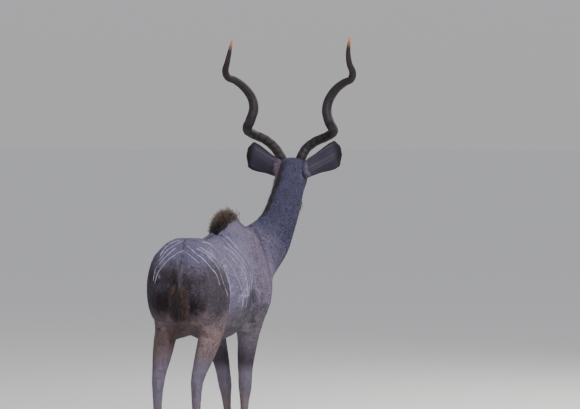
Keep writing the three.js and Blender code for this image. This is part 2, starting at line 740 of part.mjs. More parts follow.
// Beard under the jaw, longer towards the throat
const beard = lockRow({
  count: 9,
  place: (share) => {
    const toNose = 335 - 215 * share;
    const start = headPoint(0, toNose, -30);
    const out = headPoint(0, 0, -1).sub(headPoint(0, 0, 0));
    const root = start.clone().addScaledVector(out, reach(start, out, skullDistance));
    const lie = headPoint(0, -1, 0).sub(headPoint(0, 0, 0));
    return { root, out, lie, flat: headLeft };
  },
  length: smoothCurve([[0, 34], [0.5, 62], [1, 100]]), half: 16, thick: 5, apart: 12, rise: 8, rest: 44,
});
head = joined([head, ...beard]);
put("head", ahead(head, HEAD_CUT.point, HEAD_CUT.normal));
put("eye_left", eyes[LEFT]);
put("eye_right", eyes[RIGHT]);

// Ears: cupped leaves held out sideways
const EAR_LENGTH = { [LEFT]: 264, [RIGHT]: 282 };
const EAR_HALF = 80;
const EAR_SKEW = 0.3; // the upper edge reaches farther out than the lower one
const EAR_WALL = 5;
const earHalf = smoothCurve([
  [0, 54], [0.16, 52], [0.4, 55], [0.62, 69], [0.8, EAR_HALF], [0.93, 71], [1, 42],
]);
const earCurl = smoothCurve([[0, 150], [0.16, 125], [0.45, 70], [0.8, 44], [1, 30]]); // degrees each way

function ear(side) {
  const ROWS = 9;
  const COLUMNS = 7;
  const root = headPoint(side * 52, 4, -33);
  const v = new THREE.Vector3(side * Math.cos(radians(HEAD_YAW)), side * Math.sin(radians(HEAD_YAW)), 0);
  const out = v.clone().multiplyScalar(0.86).addScaledVector(UP, 0.42)
    .addScaledVector(at(0, -1, 0).applyAxisAngle(UP, radians(HEAD_YAW)), 0.1).normalize();
  const facing = at(0, 1, 0).applyAxisAngle(UP, radians(HEAD_YAW + side * -18));
  facing.addScaledVector(out, -facing.dot(out)).normalize();
  const widthways = new THREE.Vector3().crossVectors(out, facing).multiplyScalar(side);
  const sheet = (wall) => {
    const rows = [];
    for (let i = 0; i <= ROWS; i += 1) {
      const t = i / ROWS;
      const curl = radians(earCurl(t));
      const radius = earHalf(t) / Math.max(Math.sin(Math.min(curl, Math.PI / 2)), 0.2);
      const row = [];
      for (let j = 0; j <= COLUMNS; j += 1) {
        const angle = (j / COLUMNS - 0.5) * 2 * curl;
        const r = radius + wall;
        const bow = Math.cos(curl);
        const skew = -EAR_SKEW * Math.sin(angle) * r * t * t;
        row.push(root.clone().addScaledVector(out, t * EAR_LENGTH[side] + skew)
          .addScaledVector(widthways, Math.sin(angle) * r + 6 * Math.sin(t * Math.PI))
          .addScaledVector(facing, -(Math.cos(angle) * r - radius * bow)));
      }
      rows.push(row);
    }
    return rows;
  };
  const inner = sheet(-EAR_WALL / 2);
  const outer = sheet(EAR_WALL / 2);
  const rings = inner.map((row, i) => [...row, ...outer[i].slice().reverse()]);
  return solidOf(ringMesh(rings));
}
for (const [side, name] of [[LEFT, "left"], [RIGHT, "right"]]) {
  put(`ear_${name}`, ear(side).subtract(headGrown.add(neckGrown)));
}

// Horns: an open corkscrew round a line that leans out and back. Each row is how far out from the middle of
// the head, how far above the crown and how far ahead of it.
const HORN_LINE = {
  [LEFT]: [
    [48, -58, -14], [60, -26, -8], [74, 5, 0], [113, 65, 20], [175, 116, 5], [244, 147, -26], [287, 179, -82],
    [268, 232, -132], [245, 308, -124], [257, 377, -118], [301, 439, -136], [357, 483, -170],
    [405, 504, -203], [422, 544, -240], [410, 599, -284], [395, 666, -309], [379, 737, -333],
  ],
  [RIGHT]: [
    [36, -58, -14], [45, -26, -8], [56, 5, 0], [88, 59, 20], [145, 103, 5], [210, 132, -26], [255, 167, -82],
    [228, 223, -132], [211, 292, -124], [223, 361, -118], [264, 427, -136], [316, 470, -170],
    [358, 492, -203], [369, 535, -240], [347, 593, -284], [340, 666, -309], [350, 759, -333],
  ],
};
const HORN_CROWN = { ahead: 80, height: 1877 };
const HORN_BURIED = 0.055; // share of the line inside the skull
const HORN_RINGS = 40;
const HORN_SIDES = 8;
const hornRadius = smoothCurve([
  [0, 32], [0.12, 29.5], [0.45, 28.5], [0.68, 22.5], [0.82, 18.5], [0.88, 15.5], [0.93, 12], [0.97, 8],
  [1, 2.5],
]);

function hornPath(side) {
  const crown = HEAD_ORIGIN.clone().setZ(HORN_CROWN.height).addScaledVector(headForward, HORN_CROWN.ahead);
  return new THREE.CatmullRomCurve3(HORN_LINE[side].map(([out, up, ahead]) => crown.clone()
    .addScaledVector(headLeft, side * out)
    .addScaledVector(UP, up)
    .addScaledVector(headForward, ahead)), false, "centripetal");
}

function horn(side) {
  const path = hornPath(side);
  const rings = [];
  // The keel starts in front and stays on the same side of the horn's own surface
  const keel = headForward.clone();
  for (let i = 0; i <= HORN_RINGS; i += 1) {
    const share = i / HORN_RINGS;
    const centre = path.getPointAt(share);
    const tangent = path.getTangentAt(share);
    keel.addScaledVector(tangent, -keel.dot(tangent)).normalize();
    const cross = new THREE.Vector3().crossVectors(tangent, keel);
    const grown = THREE.MathUtils.clamp((share - HORN_BURIED) / (1 - HORN_BURIED), 0, 1);
    const radius = hornRadius(grown);
    const ring = [];
    for (let j = 0; j < HORN_SIDES; j += 1) {
      const angle = (j / HORN_SIDES) * 2 * Math.PI;
      const ridge = 1 + 0.16 * Math.max(Math.cos(angle), 0) ** 6;
      ring.push(centre.clone()
        .addScaledVector(keel, Math.cos(angle) * radius * ridge)
        .addScaledVector(cross, Math.sin(angle) * radius * 0.94));
    }
    rings.push(ring);
  }
  return solidOf(ringMesh(rings));
}
for (const [side, name] of [[LEFT, "left"], [RIGHT, "right"]]) {
  put(`horn_${name}`, horn(side).subtract(headGrown));
}

// Tail: a slender dock from the croup, with long hair from both edges and a tuft at the end
const tail = limb([
  [at(-28, -630, 1290), 30, 26],
  [at(-42, -692, 1250), 33, 23],
  [at(-54, -716, 1176), 32, 18],
  [at(-60, -720, 1100), 30, 14],
  [at(-61, -718, 1040), 23, 11],
  [at(-61, -716, 985), 12, 7],
], 30);
const tailSkin = solidOf(skinOverLimb({
  one: tail, start: 0.02, end: 0.99, rings: 10, sides: 10, distance: (p) => limbDistance(p, tail),
}));
const TAIL_ROWS = 5;
const tailLocks = [];
const back = at(0, -1, 0);
for (const side of [LEFT, RIGHT]) {
  for (let i = 0; i < TAIL_ROWS; i += 1) {
    const t = 0.34 + (0.56 * i) / (TAIL_ROWS - 1);
    const out = ACROSS.clone().multiplyScalar(side);
    const root = tail.path.getPoint(t).addScaledVector(out, tail.sizes.getPoint(t).x - 6)
      .addScaledVector(back, (i % 2 === 0 ? 6 : -6));
    tailLocks.push(lock({
      root, out, lie: tail.path.getTangent(t), flat: back, length: draw(104, 122), half: 15, thick: 4.5,
      rise: 52 + draw(-3, 3), rest: 88 + draw(-2, 2),
    }));
  }
}
for (const lean of [-15, 0, 15]) {
  const out = UP.clone().negate();
  const root = tail.path.getPoint(0.97).addScaledVector(ACROSS, lean * 0.4);
  tailLocks.push(lock({
    root, out, lie: ACROSS, flat: back, length: draw(66, 84), half: 16, thick: 6,
    rise: lean, rest: lean * 0.3,
  }));
}
const rumpGrown = solidOf(skinOverAxis({
  from: at(0, -515, 1152), to: at(-8, 497, 1172), side: ACROSS, sides: 30, rings: 17, endRings: 5,
  distance: bodyDistance, level: GAP,
}));
put("tail", joined([tailSkin, ...tailLocks]).subtract(rumpGrown));

// Mane along the nape and fringe down the throat
function neckLine(sign, from, to) {
  return (share) => {
    const t = from + (to - from) * share;
    const p = neck.path.getPoint(t);
    const tangent = neck.path.getTangent(t);
    const heading = radians(neck.sizes.getPoint(t).z);
    const flat = new THREE.Vector3(Math.cos(heading), Math.sin(heading), 0);
    flat.addScaledVector(tangent, -flat.dot(tangent)).normalize();
    const out = new THREE.Vector3().crossVectors(flat, tangent).multiplyScalar(sign);
    const root = p.addScaledVector(out, reach(p, out, (q) => Math.min(neckDistance(q), skullDistance(q))));
    return { root, out, lie: tangent.negate(), flat };
  };
}
const upward = new THREE.Vector3().crossVectors(ACROSS, neck.path.getTangent(0.5)).z > 0 ? 1 : -1;
const mane = lockRow({
  count: 16, place: neckLine(upward, 0.9, 0.43),
  length: smoothCurve([[0, 44], [0.45, 50], [0.7, 32], [1, 20]]), half: 19, thick: 4.5, apart: 10.5,
  rise: 38, rest: 74,
});
const fringe = lockRow({
  count: 15, place: neckLine(-upward, 0.88, 0.5),
  length: smoothCurve([[0, 96], [0.25, 128], [0.5, 96], [0.75, 52], [1, 32]]), half: 14, thick: 6, apart: 15,
  rise: 42, rest: 66,
});
const neckAll = joined([neckCore, ...mane, ...fringe]);
put("neck", ahead(
  ahead(neckAll, NECK_CUT.point, NECK_CUT.normal), HEAD_CUT.point, backwards(HEAD_CUT.normal)));

// Colours
const COAT = { color: "#7b6a63", roughness: 0.9 };
const finishes = {
  torso: COAT,
  neck: { color: "#716a74", roughness: 0.9 },
  head: { color: "#6d5f58", roughness: 0.85 },
  ear: { color: "#5f5558", roughness: 0.9 },
  eye: { color: "#1b120c", roughness: 0.1 },
  horn: { color: "#2a1f1c", roughness: 0.45 },
  hoof: { color: "#1d1a19", roughness: 0.5 },
  tail: { color: "#6a5348", roughness: 0.95 },
  upper: COAT,
  lower: { color: "#8a6a4c", roughness: 0.9 },
};

const kudu = new THREE.Group();
kudu.name = "greater_kudu";
for (const [name, solid] of Object.entries(nodes)) {
  const finish = finishes[name.split("_")[0]];
  const mesh = new THREE.Mesh(geometryOf(solid), new THREE.MeshStandardMaterial({ ...finish, metalness: 0 }));
  mesh.name = name;
  kudu.add(mesh);
}
// The origin is under the middle of the whole animal, on the ground
const bounds = new THREE.Box3().setFromObject(kudu);
const middle = bounds.getCenter(new THREE.Vector3());
kudu.position.set(-middle.x, -middle.y, -bounds.min.z);

export default kudu;
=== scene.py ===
# %% [markdown]
# A greater kudu bull, life size, looked at from behind and from its right side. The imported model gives
# every length and place. This lesson dresses it: one skin over the flesh, ridged corkscrew horns, hooves,
# eyes, short fur as thousands of small solid tufts, and long hair on the nape, the withers, the throat and
# the tail.

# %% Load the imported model
import math

import bpy
import numpy as np
from mathutils import Matrix, Vector
from mathutils.bvhtree import BVHTree
from mathutils.kdtree import KDTree


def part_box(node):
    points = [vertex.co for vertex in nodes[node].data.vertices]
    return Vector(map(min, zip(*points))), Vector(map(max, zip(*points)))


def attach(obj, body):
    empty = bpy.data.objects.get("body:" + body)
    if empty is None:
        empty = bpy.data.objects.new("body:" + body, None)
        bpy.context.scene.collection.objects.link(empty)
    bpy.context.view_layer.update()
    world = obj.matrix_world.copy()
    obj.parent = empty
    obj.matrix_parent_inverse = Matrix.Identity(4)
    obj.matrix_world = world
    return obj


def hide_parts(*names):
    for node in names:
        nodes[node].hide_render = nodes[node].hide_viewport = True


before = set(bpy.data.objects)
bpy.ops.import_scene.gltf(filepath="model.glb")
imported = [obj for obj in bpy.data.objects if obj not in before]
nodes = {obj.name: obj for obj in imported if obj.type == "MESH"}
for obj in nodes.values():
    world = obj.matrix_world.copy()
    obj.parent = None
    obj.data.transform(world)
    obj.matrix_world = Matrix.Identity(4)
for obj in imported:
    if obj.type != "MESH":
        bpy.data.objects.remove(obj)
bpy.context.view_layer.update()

# %% [markdown]
# All that is random comes from seeded generators, so each run gives the same animal. Small helpers keep the
# cells short: one selects objects, one applies a modifier, and two move vertices in and out as arrays.

# %% Helpers for objects and meshes
radians = math.radians
WEIGHT_STEPS = 20  # vertex groups are filled in this many steps


def only(*objects):
    if bpy.context.object and bpy.context.object.mode != "OBJECT":
        bpy.ops.object.mode_set(mode="OBJECT")
    bpy.ops.object.select_all(action="DESELECT")
    for one in objects:
        one.select_set(True)
    bpy.context.view_layer.objects.active = objects[0] if objects else None


def modify(piece, kind, **settings):
    only(piece)
    modifier = piece.modifiers.new(kind.lower(), kind)
    for name, value in settings.items():
        setattr(modifier, name, value)
    bpy.ops.object.modifier_apply(modifier=modifier.name)


def edit(piece, *steps):
    only(piece)
    bpy.ops.object.mode_set(mode="EDIT")
    bpy.ops.mesh.select_all(action="SELECT")
    for step in steps:
        step()
    bpy.ops.object.mode_set(mode="OBJECT")


def points_of(piece):
    flat = np.empty(len(piece.data.vertices) * 3, np.float32)
    piece.data.vertices.foreach_get("co", flat)
    return flat.reshape(-1, 3).astype(float)


def normals_of(piece):
    flat = np.empty(len(piece.data.vertices) * 3, np.float32)
    piece.data.vertices.foreach_get("normal", flat)
    return flat.reshape(-1, 3).astype(float)


def move_points(piece, points):
    piece.data.vertices.foreach_set("co", points.astype(np.float32).ravel())
    piece.data.update()


def weigh(piece, name, weights):
    group = piece.vertex_groups.get(name) or piece.vertex_groups.new(name=name)
    steps = np.round(np.clip(weights, 0, 1) * WEIGHT_STEPS).astype(int)
    for step in range(1, WEIGHT_STEPS + 1):
        group.add(np.flatnonzero(steps == step).tolist(), step / WEIGHT_STEPS, "REPLACE")
    return name


def attribute_of(piece, name, values, kind="FLOAT"):
    made = piece.data.attributes.new(name, kind, "POINT")
    field = "color" if kind == "FLOAT_COLOR" else "value"
    made.data.foreach_set(field, values.astype(np.float32).ravel())


def unit(vectors):
    return vectors / np.maximum(np.linalg.norm(vectors, axis=-1, keepdims=True), 1e-9)


def triangles_in(piece):
    return sum(len(face.vertices) - 2 for face in piece.data.polygons)


# %% [markdown]
# The animal has its own directions. A place on it is given by how far it lies to the bull's left, how far
# along the body towards the head, and how high. The head has a frame of its own, turned to the left and
# tipped nose down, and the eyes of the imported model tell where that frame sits.

# %% The bull's own directions
HEAD_YAW = radians(18)
HEAD_PITCH = radians(30)
HEAD_AT = Vector((-0.238, -0.925, 1.832))
EYE = Vector((0.061, 0.120, 0.020))  # to the side, towards the nose and up, in the head
head_turn = Matrix.Rotation(HEAD_YAW, 3, "Z") @ Matrix.Rotation(HEAD_PITCH, 3, "X")
eye_boxes = [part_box("eye_left"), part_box("eye_right")]
between_eyes = sum((low + high for low, high in eye_boxes), Vector()) / 4
OFFSET = between_eyes - HEAD_AT - head_turn @ Vector((0, -EYE.y, EYE.z))
head_at = HEAD_AT + OFFSET
turn = np.array(head_turn)


def at(side, along, up):
    return Vector((side, -along, up)) + OFFSET


def head_point(side, to_nose, up):
    return head_at + head_turn @ Vector((side, -to_nose, up))


def body_places(points):
    from_origin = points - np.array(OFFSET)
    return from_origin[:, 0], -from_origin[:, 1], from_origin[:, 2]


def head_places(points):
    turned = (points - np.array(head_at)) @ turn
    return turned[:, 0], -turned[:, 1], turned[:, 2]


print("offset of the body's own frame", [round(x, 4) for x in OFFSET])

# %% [markdown]
# Soft masks say where a colour, a fold or a kind of hair begins and ends. The neck is followed along its
# own line, from the chest to the skull, and so is the tail.

# %% Masks and lines on the body
NECK_POINTS = 60
TAIL_POINTS = 30
BLOCK = 20000  # points that are measured at once, to save memory
NECK_LINE = [
    (-0.004, 0.377, 1.196), (-0.034, 0.472, 1.232), (-0.096, 0.583, 1.279), (-0.157, 0.662, 1.360),
    (-0.197, 0.710, 1.446), (-0.224, 0.759, 1.548), (-0.237, 0.814, 1.652), (-0.239, 0.868, 1.738),
    (-0.239, 0.896, 1.780), (-0.238, 0.920, 1.800),
]
TAIL_LINE = [
    (-0.022, -0.600, 1.300), (-0.040, -0.690, 1.252), (-0.054, -0.716, 1.176), (-0.060, -0.720, 1.100),
    (-0.061, -0.718, 1.040), (-0.061, -0.716, 0.985),
]


def smooth(value, low, high):
    share = np.clip((value - low) / (high - low), 0, 1)
    return share * share * (3 - 2 * share)


def between(value, low, high, soft):
    return smooth(value, low - soft, low + soft) * (1 - smooth(value, high - soft, high + soft))


def curve_through(places, count):
    """Even points on a smooth line through a few places."""
    spots = np.array([at(*place) for place in places])
    ends = np.vstack([2 * spots[0] - spots[1], spots, 2 * spots[-1] - spots[-2]])
    fine = []
    for before, start, stop, after in zip(ends, ends[1:], ends[2:], ends[3:]):
        for step in np.linspace(0, 1, 24, endpoint=False):
            fine.append(0.5 * (2 * start + (stop - before) * step
                               + (2 * before - 5 * start + 4 * stop - after) * step ** 2
                               + (3 * start - before - 3 * stop + after) * step ** 3))
    fine = np.array(fine + [spots[-1]])
    run = np.r_[0, np.cumsum(np.linalg.norm(np.diff(fine, axis=0), axis=1))]
    wanted = np.linspace(0, run[-1], count)
    return np.stack([np.interp(wanted, run, fine[:, axis]) for axis in range(3)], axis=1)


def along_line(points, line):
    """The share of the line that is nearest to each point, and how far off it is."""
    share = np.empty(len(points))
    away = np.empty(len(points))
    for start in range(0, len(points), BLOCK):
        block = points[start:start + BLOCK]
        gaps = np.linalg.norm(block[:, None, :] - line[None, :, :], axis=2)
        nearest = gaps.argmin(axis=1)
        share[start:start + BLOCK] = nearest / (len(line) - 1)
        away[start:start + BLOCK] = gaps[np.arange(len(block)), nearest]
    return share, away


neck_line = curve_through(NECK_LINE, NECK_POINTS)
tail_line = curve_through(TAIL_LINE, TAIL_POINTS)
print("neck", round(float(np.linalg.norm(np.diff(neck_line, axis=0), axis=1).sum()), 3), "m long")


def head_mask(points):
    side, to_nose, up = head_places(points)
    near = (1 - smooth(np.abs(side), 0.11, 0.15)) * between(up, -0.17, 0.13, 0.02)
    return near * smooth(to_nose, -0.045, 0.02)


def neck_mask(points):
    share, away = along_line(points, neck_line)
    return smooth(share, 0.26, 0.40) * (1 - smooth(away, 0.20, 0.30)) * (1 - head_mask(points)), share


# %% [markdown]
# On the real animal one hide covers trunk, neck, head and legs without a seam. It could be built anew as
# one cage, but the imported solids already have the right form, so copies of them are merged, joined and
# melted together by a voxel remesh, which leaves one closed surface with even faces.

# %% Copy and join the flesh
FLESH = sorted(name for name in nodes if name.split("_")[0] in ("torso", "neck", "head", "upper", "lower"))
FIRST_VOXEL = 0.0058
SECOND_VOXEL = 0.0044
OVERLAP = 0.0005  # closes the fine cuts between the solids
WELD = 0.00002  # corners closer than this become one

copies = []
for name in FLESH:
    mesh = nodes[name].data.copy()
    copy = bpy.data.objects.new("flesh_" + name, mesh)
    bpy.context.scene.collection.objects.link(copy)
    edit(copy, lambda: bpy.ops.mesh.remove_doubles(threshold=WELD))
    modify(copy, "DISPLACE", strength=OVERLAP, mid_level=0)
    copies.append(copy)
only(*copies)
bpy.ops.object.join()
skin = bpy.context.object
skin.name = "skin"
skin.data.materials.clear()
modify(skin, "REMESH", mode="VOXEL", voxel_size=FIRST_VOXEL)
print("joined", len(FLESH), "nodes into", len(skin.data.vertices), "points")

# %% [markdown]
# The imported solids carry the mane, the withers' brush and the fringe as thick locks. Finer hair takes their
# place here. The locks could be cut off, but that would leave holes in the neck, so strong smoothing, only
# where they stand, melts them back into the skin.

# %% Melt the long locks back into the skin
LOCK_ROUNDS = 120


def lock_zone(points):
    """Where the solids carry long locks: nape, throat, jaw and withers."""
    side, along, up = body_places(points)
    across, to_nose, lift = head_places(points)
    share, away = along_line(points, neck_line)
    neck = smooth(share, 0.20, 0.30) * smooth(away, 0.078, 0.092) * (1 - smooth(away, 0.34, 0.36))
    on_head = smooth(to_nose, 0.03, 0.06) * (np.abs(across) < 0.12) * (lift > -0.12)
    jaw = (np.abs(across) < 0.022) * between(to_nose, 0.06, 0.355, 0.012) * (1 - smooth(lift, -0.078, -0.070))
    crest = (np.abs(side + 0.01) < 0.035) * between(along, -0.15, 0.50, 0.02) * smooth(up, 1.375, 1.39)
    return np.clip(np.maximum.reduce([neck * (1 - on_head), jaw * (lift < -0.07), crest]), 0, 1)


zone = weigh(skin, "locks", lock_zone(points_of(skin)))
modify(skin, "SMOOTH", factor=0.9, iterations=LOCK_ROUNDS, vertex_group=zone)
print("locks melted over", int((lock_zone(points_of(skin)) > 0.5).sum()), "points")

# %% [markdown]
# The dock is the fleshy part of a tail, a rod of small bones under the hair. A row of cylinders would show
# its joints, so it is a curve with a radius at each of its points, turned into a mesh and melted into the
# skin.

# %% Add the dock of the tail
DOCK_RADII = [0.028, 0.026, 0.020, 0.016, 0.012, 0.007]

bpy.ops.curve.primitive_bezier_curve_add()
dock = bpy.context.object
dock.data.splines.clear()
spline = dock.data.splines.new("NURBS")
spline.points.add(len(TAIL_LINE) - 1)
for point, place, radius in zip(spline.points, TAIL_LINE, DOCK_RADII):
    point.co = (*at(*place), 1)
    point.radius = radius
spline.use_endpoint_u = True
dock.data.bevel_depth = 1
dock.data.bevel_resolution = 4
dock.data.use_fill_caps = True
only(dock)
bpy.ops.object.convert(target="MESH")
dock = bpy.context.object
edit(dock, lambda: bpy.ops.mesh.remove_doubles(threshold=0.0001))
only(skin, dock)
bpy.ops.object.join()
skin = bpy.context.object
modify(skin, "REMESH", mode="VOXEL", voxel_size=SECOND_VOXEL)
print("second remesh", len(skin.data.vertices), "points")

# %% [markdown]
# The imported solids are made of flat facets, and a living hide has none. Subdivision would keep each facet,
# so the skin is smoothed: gently on the head and the lower legs, where the forms are small, and longer
# elsewhere.

# %% Round off the facets
HEAD_ROUNDS = 5
BODY_ROUNDS = 45


def detail_mask(points):
    """1 on the head and from the knees and hocks down, where the forms are small."""
    low = 1 - smooth(body_places(points)[2], 0.42, 0.75)
    return np.maximum(head_mask(points), low)


modify(skin, "SMOOTH", factor=0.5, iterations=HEAD_ROUNDS)
broad = weigh(skin, "broad", 1 - 0.9 * detail_mask(points_of(skin)))
modify(skin, "SMOOTH", factor=0.5, iterations=BODY_ROUNDS, vertex_group=broad)
skin.vertex_groups.clear()
print("skin smoothed")

# %% [markdown]
# Where the bent neck meets the shoulder, and the flank the thigh, the loose hide lies in long shallow
# folds. They could be painted, but then the light would miss them. So each one is a line pressed onto the
# skin, and the points near it are pushed in. The hide's colour along these lines is also darkened, as
# painted shade in the folds.

# %% Press in the folds of the hide
FOLD_DEPTH = 0.011
FOLD_WIDTH = 0.017
FOLDS = [  # where the neck meets the shoulder, and where the flank meets the thigh
    [(-0.081, 0.540, 1.461), (-0.123, 0.516, 1.422), (-0.156, 0.512, 1.361), (-0.184, 0.524, 1.291),
     (-0.201, 0.524, 1.241), (-0.223, 0.508, 1.180), (-0.228, 0.524, 1.111)],
    [(-0.165, -0.235, 1.250), (-0.190, -0.235, 1.180), (-0.200, -0.245, 1.090), (-0.195, -0.255, 1.010)],
]


def on_skin(places, count):
    """A line of points through a few places, pressed onto the skin."""
    line = curve_through(places, count)
    hide = BVHTree.FromObject(skin, bpy.context.evaluated_depsgraph_get())
    return np.array([hide.find_nearest(Vector(point))[0] for point in line])


def gap_to(points, marks):
    """How far each point is from the nearest of the marks."""
    tree = KDTree(len(marks))
    for number, mark in enumerate(marks):
        tree.insert(mark, number)
    tree.balance()
    return np.array([tree.find(point)[2] for point in points.tolist()])


fold_points = np.vstack([on_skin(fold, 80) for fold in FOLDS])
here = points_of(skin)
pressed = FOLD_DEPTH * np.exp(-(gap_to(here, fold_points) / FOLD_WIDTH) ** 2)
move_points(skin, here - normals_of(skin) * pressed[:, None])
print("folds pressed in up to", round(float(pressed.max()), 4), "m")

# %% [markdown]
# The ears are large cupped leaves. Each could be carved from the head, but a thin wall would not survive
# the remesh. So each one is a flat grid that is curled into its cup, given a wall by Solidify, and joined
# to the head with a boolean union, so that it still grows out of the same skin.

# %% Model the ears
EAR_LENGTH = {1: 0.264, -1: 0.282}
EAR_WALL = 0.0042
EAR_SKEW = 0.3  # the upper edge reaches farther out than the lower one
EAR_SWAY = 0.010  # how far the leaf bows towards one edge
EAR_FOLD = 0.0014
EAR_TIP_ROUND = 0.016
EAR_START = -0.12  # the root begins inside the head
EAR_HALF = [(EAR_START, 0.052), (0, 0.054), (0.16, 0.052), (0.4, 0.061), (0.62, 0.075), (0.8, 0.081),
            (0.93, 0.071), (1, 0.042)]
EAR_CURL = [(EAR_START, 150), (0, 150), (0.16, 125), (0.45, 70), (0.8, 44), (1, 30)]
EAR_ROWS = 56
EAR_COLUMNS = 40


def eased(table, value):
    """A smooth curve through a few pairs."""
    xs, ys = np.array(table).T
    slopes = np.gradient(ys, xs)
    spot = np.clip(np.searchsorted(xs, value, side="right") - 1, 0, len(xs) - 2)
    width = xs[spot + 1] - xs[spot]
    step = np.clip((value - xs[spot]) / width, 0, 1)
    rise = ys[spot + 1] - ys[spot]
    first = slopes[spot] * width - rise
    last = rise - slopes[spot + 1] * width
    return ys[spot] + step * rise + step * (1 - step) * (first * (1 - step) + last * step)


def ear_axes(side):
    spread = Vector((side * math.cos(HEAD_YAW), side * math.sin(HEAD_YAW), 0))
    backward = Matrix.Rotation(HEAD_YAW, 3, "Z") @ Vector((0, 1, 0))
    out = (0.86 * spread + 0.42 * Vector((0, 0, 1)) + 0.1 * backward).normalized()
    facing = Matrix.Rotation(HEAD_YAW + radians(-18 * side), 3, "Z") @ Vector((0, -1, 0))
    facing = (facing - out * facing.dot(out)).normalized()
    return out, facing, out.cross(facing) * side


def ear_root(side):
    return np.array(head_point(side * 0.052, 0.004, -0.033))


def ear_place(side, share, across):
    """Points on the middle of the ear's wall: share runs from root to tip, across from edge to edge."""
    out, facing, wide = (np.array(v) for v in ear_axes(side))
    curl = np.radians(eased(EAR_CURL, share))
    half = eased(EAR_HALF, share)
    radius = half / np.maximum(np.sin(np.minimum(curl, math.pi / 2)), 0.2)
    angle = across * curl
    sway = np.sin(angle) * radius + EAR_SWAY * np.sin(np.clip(share, 0, 1) * math.pi)
    reach = share * EAR_LENGTH[side] - EAR_SKEW * np.sin(angle) * radius * share ** 2
    reach -= EAR_TIP_ROUND * across ** 4 * smooth(share, 0.86, 1)
    depth = -(np.cos(angle) * radius - radius * np.cos(curl))
    # fine folds run lengthways inside the cup
    folds = EAR_FOLD * np.sin(across * 9) * between(share, 0.2, 0.8, 0.15)
    return ear_root(side) + reach[:, None] * out + sway[:, None] * wide + (depth + folds)[:, None] * facing


ears = []
for side in (1, -1):
    bpy.ops.mesh.primitive_grid_add(x_subdivisions=EAR_ROWS, y_subdivisions=EAR_COLUMNS, size=2)
    ear = bpy.context.object
    flat = points_of(ear)
    share = EAR_START + (1 - EAR_START) * (flat[:, 0] + 1) / 2
    move_points(ear, ear_place(side, share, flat[:, 1]))
    modify(ear, "SOLIDIFY", thickness=EAR_WALL, offset=0)
    edit(ear, lambda: bpy.ops.mesh.normals_make_consistent(inside=False))
    modify(ear, "SMOOTH", factor=0.5, iterations=2)
    ears.append(ear)
    print("ear", "left" if side > 0 else "right", len(ear.data.vertices), "points")

# %% [markdown]
# An ear is no separate leaf: its root spreads into the side of the head. Two meshes that only touch would
# show a seam, so a boolean union joins them, and the crease that it leaves is smoothed.

# %% Grow the ears out of the head
ROOT_ROUNDS = 8

for ear in ears:
    before = len(skin.data.vertices)
    modify(skin, "BOOLEAN", operation="UNION", solver="MANIFOLD", object=ear)
    bpy.data.objects.remove(ear)
    print("union added", len(skin.data.vertices) - before, "points")


def ear_root_mask(points):
    found = np.zeros(len(points))
    for side in (1, -1):
        root = np.array(head_point(side * 0.084, -0.004, -0.010))
        found = np.maximum(found, 1 - smooth(np.linalg.norm(points - root, axis=1), 0.030, 0.055))
    return found


fold = weigh(skin, "ear_roots", ear_root_mask(points_of(skin)))
modify(skin, "SMOOTH", factor=0.5, iterations=ROOT_ROUNDS, vertex_group=fold)

# %% [markdown]
# The trunk is a broad plain form, and small faces are wasted on it. Decimate takes faces away, and a vertex
# group tells it to spare the head, the ears and the lower legs.

# %% Thin the mesh where the form is plain
SKIN_TRIANGLES = 138000


def ear_mask(points):
    """1 on the two leaves of the ears, past the side of the head."""
    across, to_nose, lift = head_places(points)
    leaf = between(to_nose, -0.16, 0.10, 0.01) * smooth(lift, -0.10, -0.06)
    return smooth(np.abs(across), 0.082, 0.10) * leaf


here = points_of(skin)
fine = np.maximum(head_mask(here), np.maximum(ear_mask(here), 0.35 * detail_mask(here)))
keep = weigh(skin, "plain", 1 - 0.85 * fine)
share = SKIN_TRIANGLES / triangles_in(skin)
modify(skin, "DECIMATE", ratio=share, vertex_group=keep)
modify(skin, "TRIANGULATE")
skin.vertex_groups.clear()
print("thinned to", triangles_in(skin), "triangles")

# %% [markdown]
# The head needs finer forms than the joined mesh can hold: lids round each eye, nostrils, and the long line
# of the mouth. They could be separate rings and slits, but then their edges would show. So the skin is
# split finer just there, and its points are pushed in and out, as a modeller does with a sculpting brush.

# %% Split the face finer
EYE_RADIUS = 0.019
NOSTRIL = (0.026, 0.398, -0.006)
MOUTH_LINE = [(0.281, -0.050), (0.322, -0.054), (0.368, -0.052), (0.400, -0.049), (0.430, -0.046)]
EYE_SLANT = radians(12)
EYE_FORWARD = radians(10)


def refine(piece, wanted):
    mask = wanted(points_of(piece)) > 0.5
    edit(piece, lambda: bpy.ops.mesh.select_all(action="DESELECT"))
    faces = piece.data.polygons
    corners = np.empty(len(faces) * 3, int)
    faces.foreach_get("vertices", corners)
    faces.foreach_set("select", mask[corners].reshape(-1, 3).all(axis=1))
    only(piece)
    bpy.ops.object.mode_set(mode="EDIT")
    bpy.ops.mesh.select_mode(type="FACE")
    bpy.ops.mesh.subdivide(number_cuts=1)
    bpy.ops.object.mode_set(mode="OBJECT")
    modify(piece, "TRIANGULATE")


def eye_axes(side):
    """The middle of the eye, then its length towards the nose, its height, and the way it looks."""
    middle = np.array(head_point(side * EYE.x, EYE.y, EYE.z))
    look = Vector((side * math.cos(EYE_FORWARD), -math.sin(EYE_FORWARD), 0.10)).normalized()
    length = Vector((0, -math.cos(EYE_SLANT), -math.sin(EYE_SLANT)))
    length = (length - look * length.dot(look)).normalized()
    height = length.cross(look) * side
    return middle, [turn @ np.array(axis) for axis in (length, height, look)]


def eye_places(points, side):
    middle, axes = eye_axes(side)
    return [(points - middle) @ axis for axis in axes]


def near_eye(points, reach):
    found = np.zeros(len(points))
    for side in (1, -1):
        along, high, out = eye_places(points, side)
        found = np.maximum(found, (along ** 2 + high ** 2 < reach ** 2) & (np.abs(out) < 0.03))
    return found


